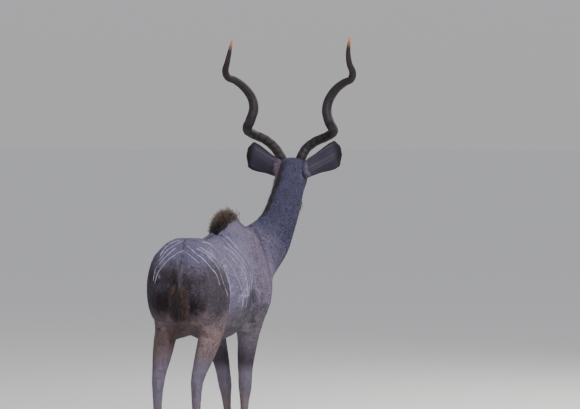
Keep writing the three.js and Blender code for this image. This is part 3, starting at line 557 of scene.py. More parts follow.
def mouth_gap(points):
    """How far a point is above (+) or below (-) the mouth line, and how far past its corner."""
    _, to_nose, lift = head_places(points)
    xs, ys = np.array(MOUTH_LINE).T
    return lift - np.interp(to_nose, xs, ys), to_nose - xs[0]


def near_mouth(points):
    gap, past = mouth_gap(points)
    across, to_nose, _ = head_places(points)
    return (np.abs(gap) < 0.012) & (past > -0.012) & (to_nose < 0.46) & (np.abs(across) < 0.09)


def near_nostril(points, reach=0.024):
    across, to_nose, lift = head_places(points)
    gap = np.stack([np.abs(across) - NOSTRIL[0], to_nose - NOSTRIL[1], lift - NOSTRIL[2]])
    return np.linalg.norm(gap, axis=0) < reach


refine(skin, lambda p: np.maximum.reduce([near_eye(p, 0.040), near_mouth(p), near_nostril(p, 0.03)]))
refine(skin, lambda p: np.maximum.reduce([near_eye(p, 0.031), near_mouth(p), near_nostril(p)]))
print("after the finer split", triangles_in(skin), "triangles")

# %% [markdown]
# A lid is a thick soft rim that lies on the eyeball. Here the skin round the eye follows a ball a little
# larger than the eye, and dives behind it where the eye is open. The mouth is a narrow slit between two
# soft lips, and each nostril is a slanted hollow with a raised edge.

# %% Push lids, nostrils and mouth into the skin
LID_EDGE = (0.0168, 0.0112)
LID_THICK = 0.0030

here = points_of(skin)
for side in (1, -1):
    along, high, out = eye_places(here, side)
    _, (_, _, look) = eye_axes(side)
    near = (along ** 2 + high ** 2 < 0.036 ** 2) & (out > -0.028)
    spread = np.hypot(along, high)
    edge = np.hypot(along / LID_EDGE[0], high / LID_EDGE[1])
    ball = np.sqrt(np.maximum(EYE_RADIUS ** 2 - spread ** 2, 0))
    lid = np.sqrt(np.maximum((EYE_RADIUS + LID_THICK) ** 2 - spread ** 2, 0)) - 0.001 * smooth(edge, 1.4, 2.0)
    hidden = ball - 0.005
    open_eye = hidden + (lid - hidden) * smooth(edge, 0.94, 1.06)
    merge = smooth(spread, 0.0165, 0.0300)
    target = np.maximum(open_eye, -0.02) * (1 - merge) + out * merge
    crease = 0.0016 * np.exp(-((edge - 1.9) / 0.16) ** 2) * (high > 0)
    shift = np.where(near, target - out - crease, 0)
    here += shift[:, None] * look
move_points(skin, here)

normal = normals_of(skin)
gap, past = mouth_gap(here)
across, to_nose, lift = head_places(here)
muzzle = smooth(past, -0.006, 0.006) * (to_nose < 0.46) * (np.abs(across) < 0.09) * (np.abs(gap) < 0.04)
slit = -0.0055 * np.exp(-(gap / 0.0022) ** 2)
lips = 0.0020 * np.exp(-((np.abs(gap) - 0.007) / 0.004) ** 2) * smooth(past, 0.0, 0.05)
here += normal * (muzzle * (slit + lips))[:, None]
spot = np.stack([(np.abs(across) - NOSTRIL[0]) / 0.0075, (to_nose - NOSTRIL[1]) / 0.015,
                 (lift - NOSTRIL[2] - 0.3 * (np.abs(across) - NOSTRIL[0])) / 0.009])
deep = np.linalg.norm(spot, axis=0)
hole = -0.012 * (1 - smooth(deep, 0.55, 1.0)) + 0.0025 * np.exp(-((deep - 1.35) / 0.3) ** 2)
here += normal * (hole * (to_nose > 0.3))[:, None]
move_points(skin, here)
face = weigh(skin, "face", np.maximum.reduce([near_eye(here, 0.034), near_mouth(here), near_nostril(here)]))
modify(skin, "SMOOTH", factor=0.4, iterations=2, vertex_group=face)
skin.vertex_groups.clear()
only(skin)
bpy.ops.object.shade_smooth()
print("face shaped")

# %% [markdown]
# The skin lies under the hair, so all of it is drawn in by the depth of the short coat. Then it is
# unwrapped, because each tuft takes its place on the texture map from the place of its root.

# %% Draw the skin in and unwrap it
COAT_DEPTH = 0.0035


def bare_mask(points):
    """1 where the hide carries no fur to speak of: nose, lips, lids and inside the ears."""
    across, to_nose, lift = head_places(points)
    nose = smooth(to_nose, 0.392, 0.412) * smooth(lift, -0.046, -0.036) * (np.abs(across) < 0.08)
    gap, past = mouth_gap(points)
    lip = (np.abs(gap) < 0.004) * (past > -0.004) * (to_nose < 0.46) * (np.abs(across) < 0.08)
    rim = np.zeros(len(points))
    for side in (1, -1):
        along, high, out = eye_places(points, side)
        edge = np.hypot(along / LID_EDGE[0], high / LID_EDGE[1])
        rim = np.maximum(rim, (1 - smooth(edge, 1.12, 1.3)) * (np.abs(out) < 0.03))
    return np.clip(np.maximum.reduce([nose, lip, rim]), 0, 1)


here = points_of(skin)
depth = COAT_DEPTH * (1 - 0.7 * np.maximum(head_mask(here), ear_mask(here))) * (1 - bare_mask(here))
depth = depth * (1 - 0.75 * ear_mask(here))
move_points(skin, here - normals_of(skin) * depth[:, None])
edit(skin, lambda: bpy.ops.uv.smart_project(angle_limit=radians(66), island_margin=0.002))
skin.data.uv_layers.active.name = "OFBake"
skin.data.materials.clear()
skin.data.polygons.foreach_set("material_index", np.zeros(len(skin.data.polygons), np.int32))
print("skin drawn in by", COAT_DEPTH, "m and unwrapped")

# %% [markdown]
# The eyes of a kudu are dark brown balls. Each could be cut out of the head, but a whole ball behind the
# lids catches the light as a real one does. Its front bulges a little, as the clear skin over the pupil
# does.

# %% Place the eyes
eyes = []
for name, side in (("left", 1), ("right", -1)):
    bpy.ops.mesh.primitive_uv_sphere_add(segments=64, ring_count=40, radius=EYE_RADIUS)
    eye = bpy.context.object
    eye.name = "eyeball_" + name
    ball = points_of(eye)
    middle, axes = eye_axes(side)
    bulge = 1 + 0.04 * smooth(ball[:, 2], 0.010, 0.019)
    attribute_of(eye, "front", ball[:, 2] / EYE_RADIUS)
    move_points(eye, middle + bulge[:, None] * (ball @ np.array(axes)))
    only(eye)
    bpy.ops.object.shade_smooth()
    eyes.append(eye)
print("two eyes, radius", EYE_RADIUS)

# %% [markdown]
# The horns are hollow sheaths that grow as a corkscrew: ringed and keeled at the base, smooth above, with
# pale tips. A Curve modifier could bend a straight one, but on a corkscrew it flips the rings over. So a
# short ring is arrayed into a straight tube, and then each ring is carried to its own place on the curve,
# with its own radius, ridges and keel.

# %% Grow the horns
# out to the side, up, ahead, from the crown of the head
HORN_LINE = {
    1: [(0.048, -0.058, -0.014), (0.060, -0.026, -0.008), (0.074, 0.005, 0.000), (0.113, 0.065, 0.020),
        (0.175, 0.116, 0.005), (0.244, 0.147, -0.026), (0.287, 0.179, -0.082), (0.268, 0.232, -0.132),
        (0.245, 0.308, -0.124), (0.257, 0.377, -0.118), (0.301, 0.439, -0.136), (0.357, 0.483, -0.170),
        (0.405, 0.504, -0.203), (0.422, 0.544, -0.240), (0.410, 0.599, -0.284), (0.395, 0.666, -0.309),
        (0.379, 0.737, -0.333)],
    -1: [(0.036, -0.058, -0.014), (0.045, -0.026, -0.008), (0.056, 0.005, 0.000), (0.088, 0.059, 0.020),
         (0.145, 0.103, 0.005), (0.210, 0.132, -0.026), (0.255, 0.167, -0.082), (0.228, 0.223, -0.132),
         (0.211, 0.292, -0.124), (0.223, 0.361, -0.118), (0.264, 0.427, -0.136), (0.316, 0.470, -0.170),
         (0.358, 0.492, -0.203), (0.369, 0.535, -0.240), (0.347, 0.593, -0.284), (0.340, 0.666, -0.309),
         (0.350, 0.759, -0.333)],
}
HORN_RADIUS = [(0, 0.0320), (0.12, 0.0300), (0.45, 0.0290), (0.68, 0.0228), (0.82, 0.0185), (0.88, 0.0155),
               (0.93, 0.0120), (0.97, 0.0080), (1, 0.0022)]
HORN_BURIED = 0.055  # share of the line inside the skull
HORN_SIDES = 40
HORN_RINGS = 480
RIDGE_COUNT = 62
RIDGE_DEPTH = 0.060  # ridges, keel and grooves are shares of the horn's radius
KEEL_HEIGHT = 0.13
GROOVE_DEPTH = 0.008
forward = Matrix.Rotation(HEAD_YAW, 3, "Z") @ Vector((0, -1, 0))
leftward = Matrix.Rotation(HEAD_YAW, 3, "Z") @ Vector((1, 0, 0))
crown = Vector((head_at.x, head_at.y, 1.877)) + forward * 0.080


def square_axes(line, first):
    """Two axes square to a line at each of its points, carried along it without a twist."""
    ways = unit(np.gradient(line, axis=0))
    across = [unit(first - ways[0] * (first @ ways[0]))]
    for way in ways[1:]:
        across.append(unit(across[-1] - way * (across[-1] @ way)))
    across = np.array(across)
    return across, np.cross(ways, across)


horns = []
for name, side in (("left", 1), ("right", -1)):
    places = []
    for out, up, ahead in HORN_LINE[side]:
        place = crown + leftward * (side * out) + Vector((0, 0, up)) + forward * ahead - OFFSET
        places.append((place.x, -place.y, place.z))
    line = curve_through(places, HORN_RINGS + 1)
    length = float(np.linalg.norm(np.diff(line, axis=0), axis=1).sum())
    slice_length = length / HORN_RINGS
    bpy.ops.mesh.primitive_cylinder_add(vertices=HORN_SIDES, radius=1, depth=slice_length,
                                        end_fill_type="NOTHING", location=(slice_length / 2, 0, 0),
                                        rotation=(0, math.pi / 2, 0))
    horn = bpy.context.object
    horn.name = "horn_sheath_" + name
    bpy.ops.object.transform_apply(location=True, rotation=True, scale=False)
    modify(horn, "ARRAY", count=HORN_RINGS, use_relative_offset=False, use_constant_offset=True,
           constant_offset_displace=(slice_length, 0, 0))
    edit(horn, lambda: bpy.ops.mesh.remove_doubles(threshold=slice_length / 4),
         lambda: bpy.ops.mesh.fill_holes(sides=0),
         lambda: bpy.ops.mesh.normals_make_consistent(inside=False))
    straight = points_of(horn)
    ring = np.clip(np.round(straight[:, 0] / slice_length).astype(int), 0, HORN_RINGS)
    grown = np.clip((ring / HORN_RINGS - HORN_BURIED) / (1 - HORN_BURIED), 0, 1)
    angle = np.arctan2(straight[:, 2], straight[:, 1])
    radius = eased(HORN_RADIUS, grown)
    fade = 1 - smooth(grown, 0.26, 0.56)
    uneven = 0.5 * np.sin(angle * 2 + grown * 9) + 0.3 * np.sin(angle * 3 - grown * 23)
    ridge = np.abs(np.sin(np.power(grown, 0.88) * RIDGE_COUNT + uneven)) ** 0.6
    keel = np.exp(-(np.angle(np.exp(1j * angle)) / 0.40) ** 2) * (1 - smooth(grown, 0.75, 0.95))
    groove = np.sin(angle * 9 + grown * 5) * (1 - smooth(grown, 0.6, 0.9))
    radius = radius * (1 + KEEL_HEIGHT * keel - RIDGE_DEPTH * fade * (1 - ridge) + GROOVE_DEPTH * groove)
    across, beyond = square_axes(line, np.array(forward))
    round_it = np.cos(angle)[:, None] * across[ring] + np.sin(angle)[:, None] * beyond[ring]
    move_points(horn, line[ring] + radius[:, None] * round_it)
    attribute_of(horn, "grown", grown)
    # cavity is 1 in the grooves between the ridges, where the horn's material paints shade
    attribute_of(horn, "cavity", fade * (1 - ridge))
    only(horn)
    bpy.ops.object.shade_smooth()
    horns.append(horn)
    print(horn.name, round(length, 3), "m along the curve,", len(horn.data.vertices), "points")

# %% [markdown]
# A hoof is horn that grows downwards, so its wall carries fine level growth lines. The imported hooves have
# the right form and size. Copies of them are remeshed finely, smoothed, and given these lines.

# %% Shape the hooves
HOOVES = sorted(name for name in nodes if name.startswith("hoof"))
HOOF_VOXEL = 0.0018
GROWTH_DEPTH = 0.0005
GROWTH_LINES = 900  # radians of the wave in one metre
SOLE_GAP = 0.0003  # keeps the soles just clear of the floor

hooves = []
for name in HOOVES:
    hoof = bpy.data.objects.new(name.replace("hoof", "hoof_horn"), nodes[name].data.copy())
    bpy.context.scene.collection.objects.link(hoof)
    hoof.data.materials.clear()
    edit(hoof, lambda: bpy.ops.mesh.remove_doubles(threshold=WELD))
    modify(hoof, "REMESH", mode="VOXEL", voxel_size=HOOF_VOXEL)
    modify(hoof, "SMOOTH", factor=0.5, iterations=6)
    wall = points_of(hoof)
    growth = GROWTH_DEPTH * np.sin(wall[:, 2] * GROWTH_LINES) * smooth(wall[:, 2], 0.006, 0.014)
    outward = normals_of(hoof) * np.array([1, 1, 0])
    wall = wall + outward * growth[:, None]
    wall[:, 2] = np.maximum(wall[:, 2], SOLE_GAP)
    move_points(hoof, wall)
    only(hoof)
    bpy.ops.object.shade_smooth()
    hooves.append(hoof)
print(len(hooves), "hooves")

# %% [markdown]
# A kudu's markings are part of its hide: thin white stripes down the flanks, a dark line along the back,
# dark thighs, tan legs, a white bar between the eyes. They could be painted on an image, but short and long
# hair need them too. So one function gives the colour at any place, and both the skin and each tuft ask it.

# %% Colours of the hide
def srgb(red, green, blue):
    channel = np.array([red, green, blue]) / 255
    return np.where(channel <= 0.04045, channel / 12.92, ((channel + 0.055) / 1.055) ** 2.4)


HIDE = {
    "flank": srgb(113, 106, 130), "rump": srgb(93, 88, 112), "haunch": srgb(81, 73, 85),
    "belly": srgb(101, 94, 104), "shoulder": srgb(113, 103, 122), "neck": srgb(66, 64, 88),
    "neck_low": srgb(95, 93, 120), "throat": srgb(62, 56, 70), "stripe": srgb(204, 198, 222),
    "back_line": srgb(38, 30, 36), "thigh": srgb(40, 30, 34), "tan": srgb(116, 97, 98),
    "leg": srgb(109, 101, 118), "leg_dark": srgb(52, 44, 50), "pale": srgb(180, 168, 172),
    "head": srgb(64, 58, 70), "poll": srgb(46, 44, 62), "face_dark": srgb(42, 35, 42),
    "muzzle": srgb(140, 128, 136), "white": srgb(214, 208, 214), "nose": srgb(28, 24, 28),
    "ear_back": srgb(50, 47, 61), "ear_streak": srgb(100, 86, 98), "ear_inside": srgb(180, 156, 158),
    "ear_rim": srgb(22, 18, 26), "tail": srgb(90, 64, 58), "tail_edge": srgb(20, 16, 18),
    "tail_dark": srgb(44, 32, 34), "tail_rust": srgb(116, 72, 56), "crest": srgb(126, 106, 92),
    "crest_dark": srgb(64, 56, 60), "nape": srgb(112, 92, 106), "beard": srgb(54, 45, 48),
}
# side, along, up of each stripe from the back line down, on the bull's right
STRIPES = [
    [(-0.101, -0.419, 1.401), (-0.140, -0.371, 1.377), (-0.150, -0.290, 1.320), (-0.158, -0.225, 1.255),
     (-0.170, -0.193, 1.204), (-0.178, -0.177, 1.167), (-0.181, -0.160, 1.131), (-0.184, -0.153, 1.080)],
    [(-0.117, -0.500, 1.370), (-0.139, -0.495, 1.350), (-0.172, -0.440, 1.318), (-0.196, -0.395, 1.270),
     (-0.209, -0.360, 1.230), (-0.220, -0.350, 1.201), (-0.226, -0.333, 1.165)],
    [(-0.100, -0.525, 1.366), (-0.139, -0.517, 1.342), (-0.172, -0.492, 1.305), (-0.196, -0.450, 1.264),
     (-0.208, -0.434, 1.234), (-0.216, -0.430, 1.205), (-0.225, -0.422, 1.170), (-0.238, -0.388, 1.098)],
    [(-0.034, -0.498, 1.380), (-0.064, -0.532, 1.367), (-0.088, -0.552, 1.354), (-0.111, -0.568, 1.338),
     (-0.160, -0.554, 1.298), (-0.190, -0.519, 1.250), (-0.203, -0.484, 1.222), (-0.215, -0.464, 1.166)],
    [(-0.049, -0.577, 1.344), (-0.075, -0.589, 1.335), (-0.100, -0.599, 1.319), (-0.133, -0.599, 1.293)],
    [(-0.066, 0.109, 1.412), (-0.096, 0.106, 1.389), (-0.122, 0.105, 1.362), (-0.147, 0.116, 1.332),
     (-0.181, 0.156, 1.276), (-0.203, 0.182, 1.208), (-0.208, 0.185, 1.172), (-0.214, 0.167, 1.137)],
    [(-0.052, 0.076, 1.410), (-0.086, 0.050, 1.382), (-0.115, 0.041, 1.356), (-0.136, 0.053, 1.334),
     (-0.177, 0.075, 1.277), (-0.206, 0.119, 1.212), (-0.221, 0.119, 1.146), (-0.227, 0.101, 1.105)],
    [(-0.101, -0.033, 1.356), (-0.128, -0.001, 1.334), (-0.170, 0.025, 1.282), (-0.205, 0.060, 1.215),
     (-0.223, 0.071, 1.148), (-0.229, 0.064, 1.113), (-0.230, 0.045, 1.072)],
    [(-0.141, -0.058, 1.309), (-0.175, -0.029, 1.261), (-0.204, 0.015, 1.211), (-0.222, 0.020, 1.151),
     (-0.228, 0.020, 1.103), (-0.229, 0.019, 1.049), (-0.221, 0.018, 1.001)],
    [(-0.142, -0.136, 1.295), (-0.171, -0.109, 1.244), (-0.194, -0.075, 1.186), (-0.211, -0.051, 1.125),
     (-0.217, -0.041, 1.089), (-0.218, -0.034, 1.041), (-0.211, -0.029, 0.992)],
]
LEFT_RUMP = [
    [(0.049, -0.424, 1.407), (0.083, -0.464, 1.392), (0.095, -0.531, 1.363), (0.100, -0.594, 1.325)],
    [(0.023, -0.426, 1.406), (0.044, -0.487, 1.384), (0.069, -0.544, 1.361), (0.084, -0.604, 1.320),
     (0.094, -0.618, 1.303)],
    [(0.033, -0.530, 1.366), (0.051, -0.593, 1.335), (0.081, -0.632, 1.293), (0.113, -0.639, 1.251),
     (0.119, -0.653, 1.198)],
    [(-0.027, -0.554, 1.355), (0.001, -0.585, 1.340), (0.030, -0.625, 1.312), (0.064, -0.649, 1.274),
     (0.090, -0.660, 1.230), (0.106, -0.662, 1.183)],
]
BACK_LINE = [
    (-0.008, 0.10, 1.420), (-0.008, -0.20, 1.410), (0.010, -0.428, 1.405), (-0.009, -0.488, 1.383),
    (-0.024, -0.557, 1.353), (-0.042, -0.615, 1.319), (-0.048, -0.682, 1.260), (-0.052, -0.698, 1.240),
]
STRIPE_POINTS = 70

on_both_flanks = STRIPES[:1] + STRIPES[5:]
mirrored = [[(-0.016 - side, along + 0.01, up) for side, along, up in stripe] for stripe in on_both_flanks]
all_stripes = STRIPES + mirrored + LEFT_RUMP
stripe_points = np.vstack([on_skin(stripe, STRIPE_POINTS) for stripe in all_stripes])
back_points = on_skin(BACK_LINE, 90)


WAVES = 6


def wander(points, size, seed):
    """Soft uneven values, mostly between -1 and 1, the same at the same place each time."""
    random = np.random.default_rng(seed)
    total = np.zeros(len(points))
    for _ in range(WAVES):
        wave = random.normal(size=3) / size
        total += np.sin(points @ wave * 2 + random.uniform(0, 6.28))
    return total / 3.5


def tint(points, normals, striped=False):
    """The hide's colour at each point, from broad fields to small marks, with some painted shade in creases.
    """
    side, along, up = body_places(points)
    across, to_nose, lift = head_places(points)
    neck, neck_share = neck_mask(points)
    head = head_mask(points)
    ear = ear_mask(points)
    colour = np.tile(HIDE["flank"], (len(points), 1))

    def lay(name, share):
        colour[:] = colour + (HIDE[name] - colour) * np.clip(share, 0, 1)[:, None]

    uneven = wander(points, 0.12, 5) * 0.03
    strands = wander(points * np.array([1, 1, 0.2]), 0.011, 31)
    lay("rump", 1 - smooth(along + uneven + 0.6 * (up - 1.25), -0.50, -0.32))
    lay("haunch", (1 - smooth(along + uneven, -0.34, -0.22)) * (1 - smooth(up + uneven, 1.22, 1.32)))
    lay("shoulder", smooth(along + uneven, 0.10, 0.30) * 0.8)
    lay("belly", 1 - smooth(up + uneven, 0.93, 1.02))
    lay("rump", smooth(up + uneven, 1.36, 1.41) * 0.7 * (1 - smooth(along, 0.1, 0.3)))
    behind = 1 - smooth(along + uneven, -0.42, -0.26)
    lay("tan", behind * between(up + uneven + strands * 0.012, 0.70, 0.945, 0.10))
    spread = 1 - smooth(np.abs(side + 0.02), 0.11, 0.20)
    patches = between(up + uneven * 0.7 + strands * 0.008, 0.985, 1.10, 0.035)
    band = between(up + uneven * 0.6 + strands * 0.006, 1.17, 1.215, 0.03)
    lay("thigh", behind * spread * patches * (0.92 + 0.14 * strands))
    lay("thigh", behind * spread * band * (0.62 + 0.16 * strands))
    lay("thigh", behind * between(up + uneven, 0.985, 1.24, 0.05) * 0.25)
    # painted shade where the foreleg meets the barrel, laid in the dark thigh colour
    elbow_shade = np.exp(-(((along - 0.12) / 0.10) ** 2 + ((up - 1.02) / 0.09) ** 2))
    lay("thigh", elbow_shade * 0.75)
    low = 1 - smooth(up + uneven, 0.62, 0.82)
    lay("leg", low)
    front = smooth(along, -0.05, 0.05)
    lay("leg_dark", low * front * between(up, 0.60, 0.72, 0.04) * 0.8)
    lay("tan", between(up + uneven, 0.12, 0.45, 0.05) * 0.6)
    lay("leg_dark", 1 - smooth(up + uneven * 0.2, 0.12, 0.15))
    lay("pale", between(up, 0.092, 0.118, 0.008) * 0.8)
    lay("neck", neck)
    lay("neck_low", neck * (1 - smooth(neck_share + uneven, 0.30, 0.55)))
    blotches = smooth(wander(points, 0.028, 37), 0.35, 0.9) * between(neck_share, 0.35, 0.75, 0.08)
    lay("throat", neck * blotches * 0.5)
    lay("shoulder", neck * between(neck_share + uneven * 0.5, 0.24, 0.42, 0.05) * 0.5)
    line_along = body_places(neck_line)[1]
    forward_side = along - np.interp(neck_share, np.linspace(0, 1, NECK_POINTS), line_along)
    lay("throat", neck * smooth(forward_side, 0.02, 0.09) * 0.7)
    lay("head", head)
    lay("poll", head * (1 - smooth(to_nose, 0.03, 0.10)))
    lay("face_dark", head * smooth(lift, 0.0, 0.035) * between(to_nose, 0.20, 0.36, 0.03) * 0.8)
    bar_at = 0.150 + 1.25 * np.abs(across)
    bar = np.exp(-((to_nose - bar_at) / 0.011) ** 2) * (np.abs(across) < 0.052) * smooth(lift, 0.0, 0.02)
    lay("white", head * bar)
    lay("muzzle", head * smooth(to_nose, 0.355, 0.385))
    lay("white", head * smooth(to_nose, 0.30, 0.335) * (1 - smooth(lift, -0.070, -0.055)))
    upper_lip = smooth(to_nose, 0.35, 0.37) * between(lift, -0.052, -0.030, 0.006)
    lay("white", head * upper_lip * 0.9)
    cheek_spots = ((0.205, -0.040, 0.011), (0.180, -0.062, 0.009), (0.158, -0.040, 0.008))
    for spot_nose, spot_lift, size in cheek_spots:
        spot = np.exp(-(((to_nose - spot_nose) / size) ** 2 + ((lift - spot_lift) / size) ** 2))
        lay("white", head * spot * (np.abs(across) > 0.03) * 0.75)
    lay("nose", head * bare_mask(points))
    out, out_share, inside = ear_depth(points, normals)
    lay("ear_back", ear)
    ribs = smooth(np.cos(out * np.sign(across) * 9 + 1.0), 0.55, 1.0) * between(out_share, 0.2, 0.85, 0.1)
    lay("ear_streak", ear * ribs * 0.3)
    lay("ear_inside", ear * inside)
    lay("ear_rim", ear * np.maximum(smooth(out_share, 0.80, 0.95), smooth(out, 0.78, 0.95)))
    dock_away = along_line(points, tail_line)[1]
    dock = (1 - smooth(dock_away, 0.034, 0.045)) * (up < 1.30) * (along < -0.64)
    lay("tail", dock * (1 - smooth(up, 1.10, 1.16)))
    lay("back_line", (1 - smooth(gap_to(points, back_points), 0.003, 0.010)) * 0.85)
    # painted shade: the hide along the pressed folds is darkened towards the throat colour
    lay("throat", (1 - smooth(gap_to(points, fold_points), 0.006, 0.022)) * 0.45)
    if striped:
        near = 1 - smooth(gap_to(points, stripe_points), 0.0020, 0.0050)
        lay("stripe", near * 0.45)
    return np.clip(colour, 0, 1)


def ear_depth(points, normals):
    """How far towards the edge, how far towards the tip, and 1 on the inside of the cup."""
    edge = np.zeros(len(points))
    tip = np.zeros(len(points))
    inside = np.zeros(len(points))
    for side in (1, -1):
        out, facing, wide = (np.array(v) for v in ear_axes(side))
        from_root = points - ear_root(side)
        share = from_root @ out / EAR_LENGTH[side]
        share = share + EAR_SKEW * (from_root @ wide) * np.clip(share, 0, 1) ** 2 / EAR_LENGTH[side]
        curl = np.radians(eased(EAR_CURL, np.clip(share, 0, 1)))
        half = eased(EAR_HALF, np.clip(share, 0, 1))
        radius = half / np.maximum(np.sin(np.minimum(curl, math.pi / 2)), 0.2)
        wide_at = from_root @ wide - EAR_SWAY * np.sin(np.clip(share, 0, 1) * math.pi)
        deep_at = radius * np.cos(curl) - from_root @ facing
        angle = np.arctan2(wide_at, deep_at)
        mine = head_places(points)[0] * side > 0
        edge = np.where(mine, np.abs(angle) / curl, edge)
        tip = np.where(mine, share, tip)
        outward = wide * wide_at[:, None] - facing * deep_at[:, None]
        inside = np.where(mine, (normals * outward).sum(axis=1) < 0, inside)
    return edge, tip, inside


here = points_of(skin)
shade = tint(here, normals_of(skin), striped=True)
attribute_of(skin, "tint", np.c_[shade, np.ones(len(shade))], "FLOAT_COLOR")
attribute_of(skin, "bare", bare_mask(here))
print("hide coloured,", len(STRIPES), "stripes on the right")

# %% [markdown]
# Fur could be particle hair, but that doesn't survive an export. So each tuft is a tiny solid: a three-
# sided spike that rises a little from the skin and lies along the coat. Thousands are made at once as
# arrays, since no hand could place them. Their roots are drawn at random over the skin's triangles, with
# more on some places.

# %% Tools for tufts
random = np.random.default_rng(41)
face_count = len(skin.data.polygons)
corners = np.empty(face_count * 3, int)
skin.data.polygons.foreach_get("vertices", corners)
corners = corners.reshape(-1, 3)
unwrap = np.empty(face_count * 6, np.float32)
skin.data.uv_layers["OFBake"].data.foreach_get("uv", unwrap)
unwrap = unwrap.reshape(-1, 3, 2).astype(float)
skin_points = points_of(skin)
skin_normals = normals_of(skin)
triangle = skin_points[corners]
square_off = np.cross(triangle[:, 1] - triangle[:, 0], triangle[:, 2] - triangle[:, 0])
face_area = np.linalg.norm(square_off, axis=1) / 2
face_middle = triangle.mean(axis=1)
face_normal = square_off / np.maximum(np.linalg.norm(square_off, axis=1), 1e-12)[:, None]


def roots_on_skin(count, density):
    """Places, normals and map places drawn over the skin, thicker where density is larger."""
    chance = np.cumsum(face_area * density)
    picked = np.searchsorted(chance, random.uniform(0, chance[-1], count))
    picked = np.minimum(picked, face_count - 1)
    first, second = random.uniform(0, 1, (2, count))
    over = first + second > 1
    first[over], second[over] = 1 - first[over], 1 - second[over]
    share = np.stack([1 - first - second, first, second], axis=1)
    place = (skin_points[corners[picked]] * share[:, :, None]).sum(axis=1)
    normal = unit((skin_normals[corners[picked]] * share[:, :, None]).sum(axis=1))
    on_map = (unwrap[picked] * share[:, :, None]).sum(axis=1)
    return place, normal, on_map


def roots_near(spots):
    """The nearest place on the skin to each spot, with its normal and map place."""
    hide = BVHTree.FromObject(skin, bpy.context.evaluated_depsgraph_get())
    found = [hide.find_nearest(spot) for spot in spots.tolist()]
    place = np.array([hit[0] for hit in found])
    normal = np.array([hit[1] for hit in found])
    face = np.array([hit[2] for hit in found])
    near = np.linalg.norm(triangle[face] - place[:, None, :], axis=2)
    share = 1 / (near + 1e-6)
    share /= share.sum(axis=1)[:, None]
    return place, normal, (unwrap[face] * share[:, :, None]).sum(axis=1)


def mesh_from(name, points, faces, on_map, colours, sizes):
    """One joined mesh of many small solids. faces is an array of triangles."""
    mesh = bpy.data.meshes.new(name)
    mesh.vertices.add(len(points))
    mesh.vertices.foreach_set("co", points.astype(np.float32).ravel())
    mesh.loops.add(faces.size)
    mesh.loops.foreach_set("vertex_index", faces.astype(np.int32).ravel())
    mesh.polygons.add(len(faces))
    mesh.polygons.foreach_set("loop_start", np.arange(0, faces.size, 3, dtype=np.int32))
    mesh.update(calc_edges=True)
    layer = mesh.uv_layers.new(name="OFBake")
    layer.data.foreach_set("uv", on_map[faces.ravel()].astype(np.float32).ravel())
    piece = bpy.data.objects.new(name, mesh)
    bpy.context.scene.collection.objects.link(piece)
    attribute_of(piece, "tint", np.c_[np.clip(colours, 0, 1), np.ones(len(colours))], "FLOAT_COLOR")
    attribute_of(piece, "tip", sizes)
    mesh.polygons.foreach_set("use_smooth", np.ones(len(faces), bool))
    return piece


MAP_PATCH = 0.0014  # half of the small patch that each tuft takes on the map


def short_tufts(name, place, normal, on_map, lie, length, width, lift, shading, plain=False):
    """Three-sided spikes, four triangles each."""
    count = len(place)
    flat = unit(lie - normal * (lie * normal).sum(axis=1)[:, None])
    across = np.cross(normal, flat)
    root = place - normal * 0.0008 - flat * (length * 0.10)[:, None]
    left = root + across * (width / 2)[:, None]
    right = root - across * (width / 2)[:, None]
    ridge = root + normal * (0.0010 + width * 0.45)[:, None] + flat * (length * 0.22)[:, None]
    end = place + flat * (length * 0.9)[:, None] + normal * lift[:, None]
    points = np.stack([left, right, ridge, end], axis=1).reshape(-1, 3)
    base = np.arange(count)[:, None, None] * 4
    faces = (base + np.array([[0, 2, 3], [2, 1, 3], [1, 0, 3], [0, 1, 2]])).reshape(-1, 3)
    patch = np.array([[-1, 0], [1, 0], [0, 0.4], [0, 1]]) * MAP_PATCH
    spread = np.clip(on_map[:, None, :] + patch, 0.0005, 0.9995).reshape(-1, 2)
    if plain:
        below = above = np.ones((count, 3))
    else:
        below, above = tint(place, normal), tint(place + flat * (length * 0.75)[:, None], normal)
    # painted shade and light: each tuft is darker at its root, in the shade of the coat, and brighter at its
    # tip
    shades = np.stack([below * 0.82, below * 0.82, (below + above) * 0.49, above * 1.10], axis=1)
    shades = (shades * shading[:, None, :]).reshape(-1, 3)
    return mesh_from(name, points, faces, spread, shades, np.tile([0, 0, 0.3, 1], count))


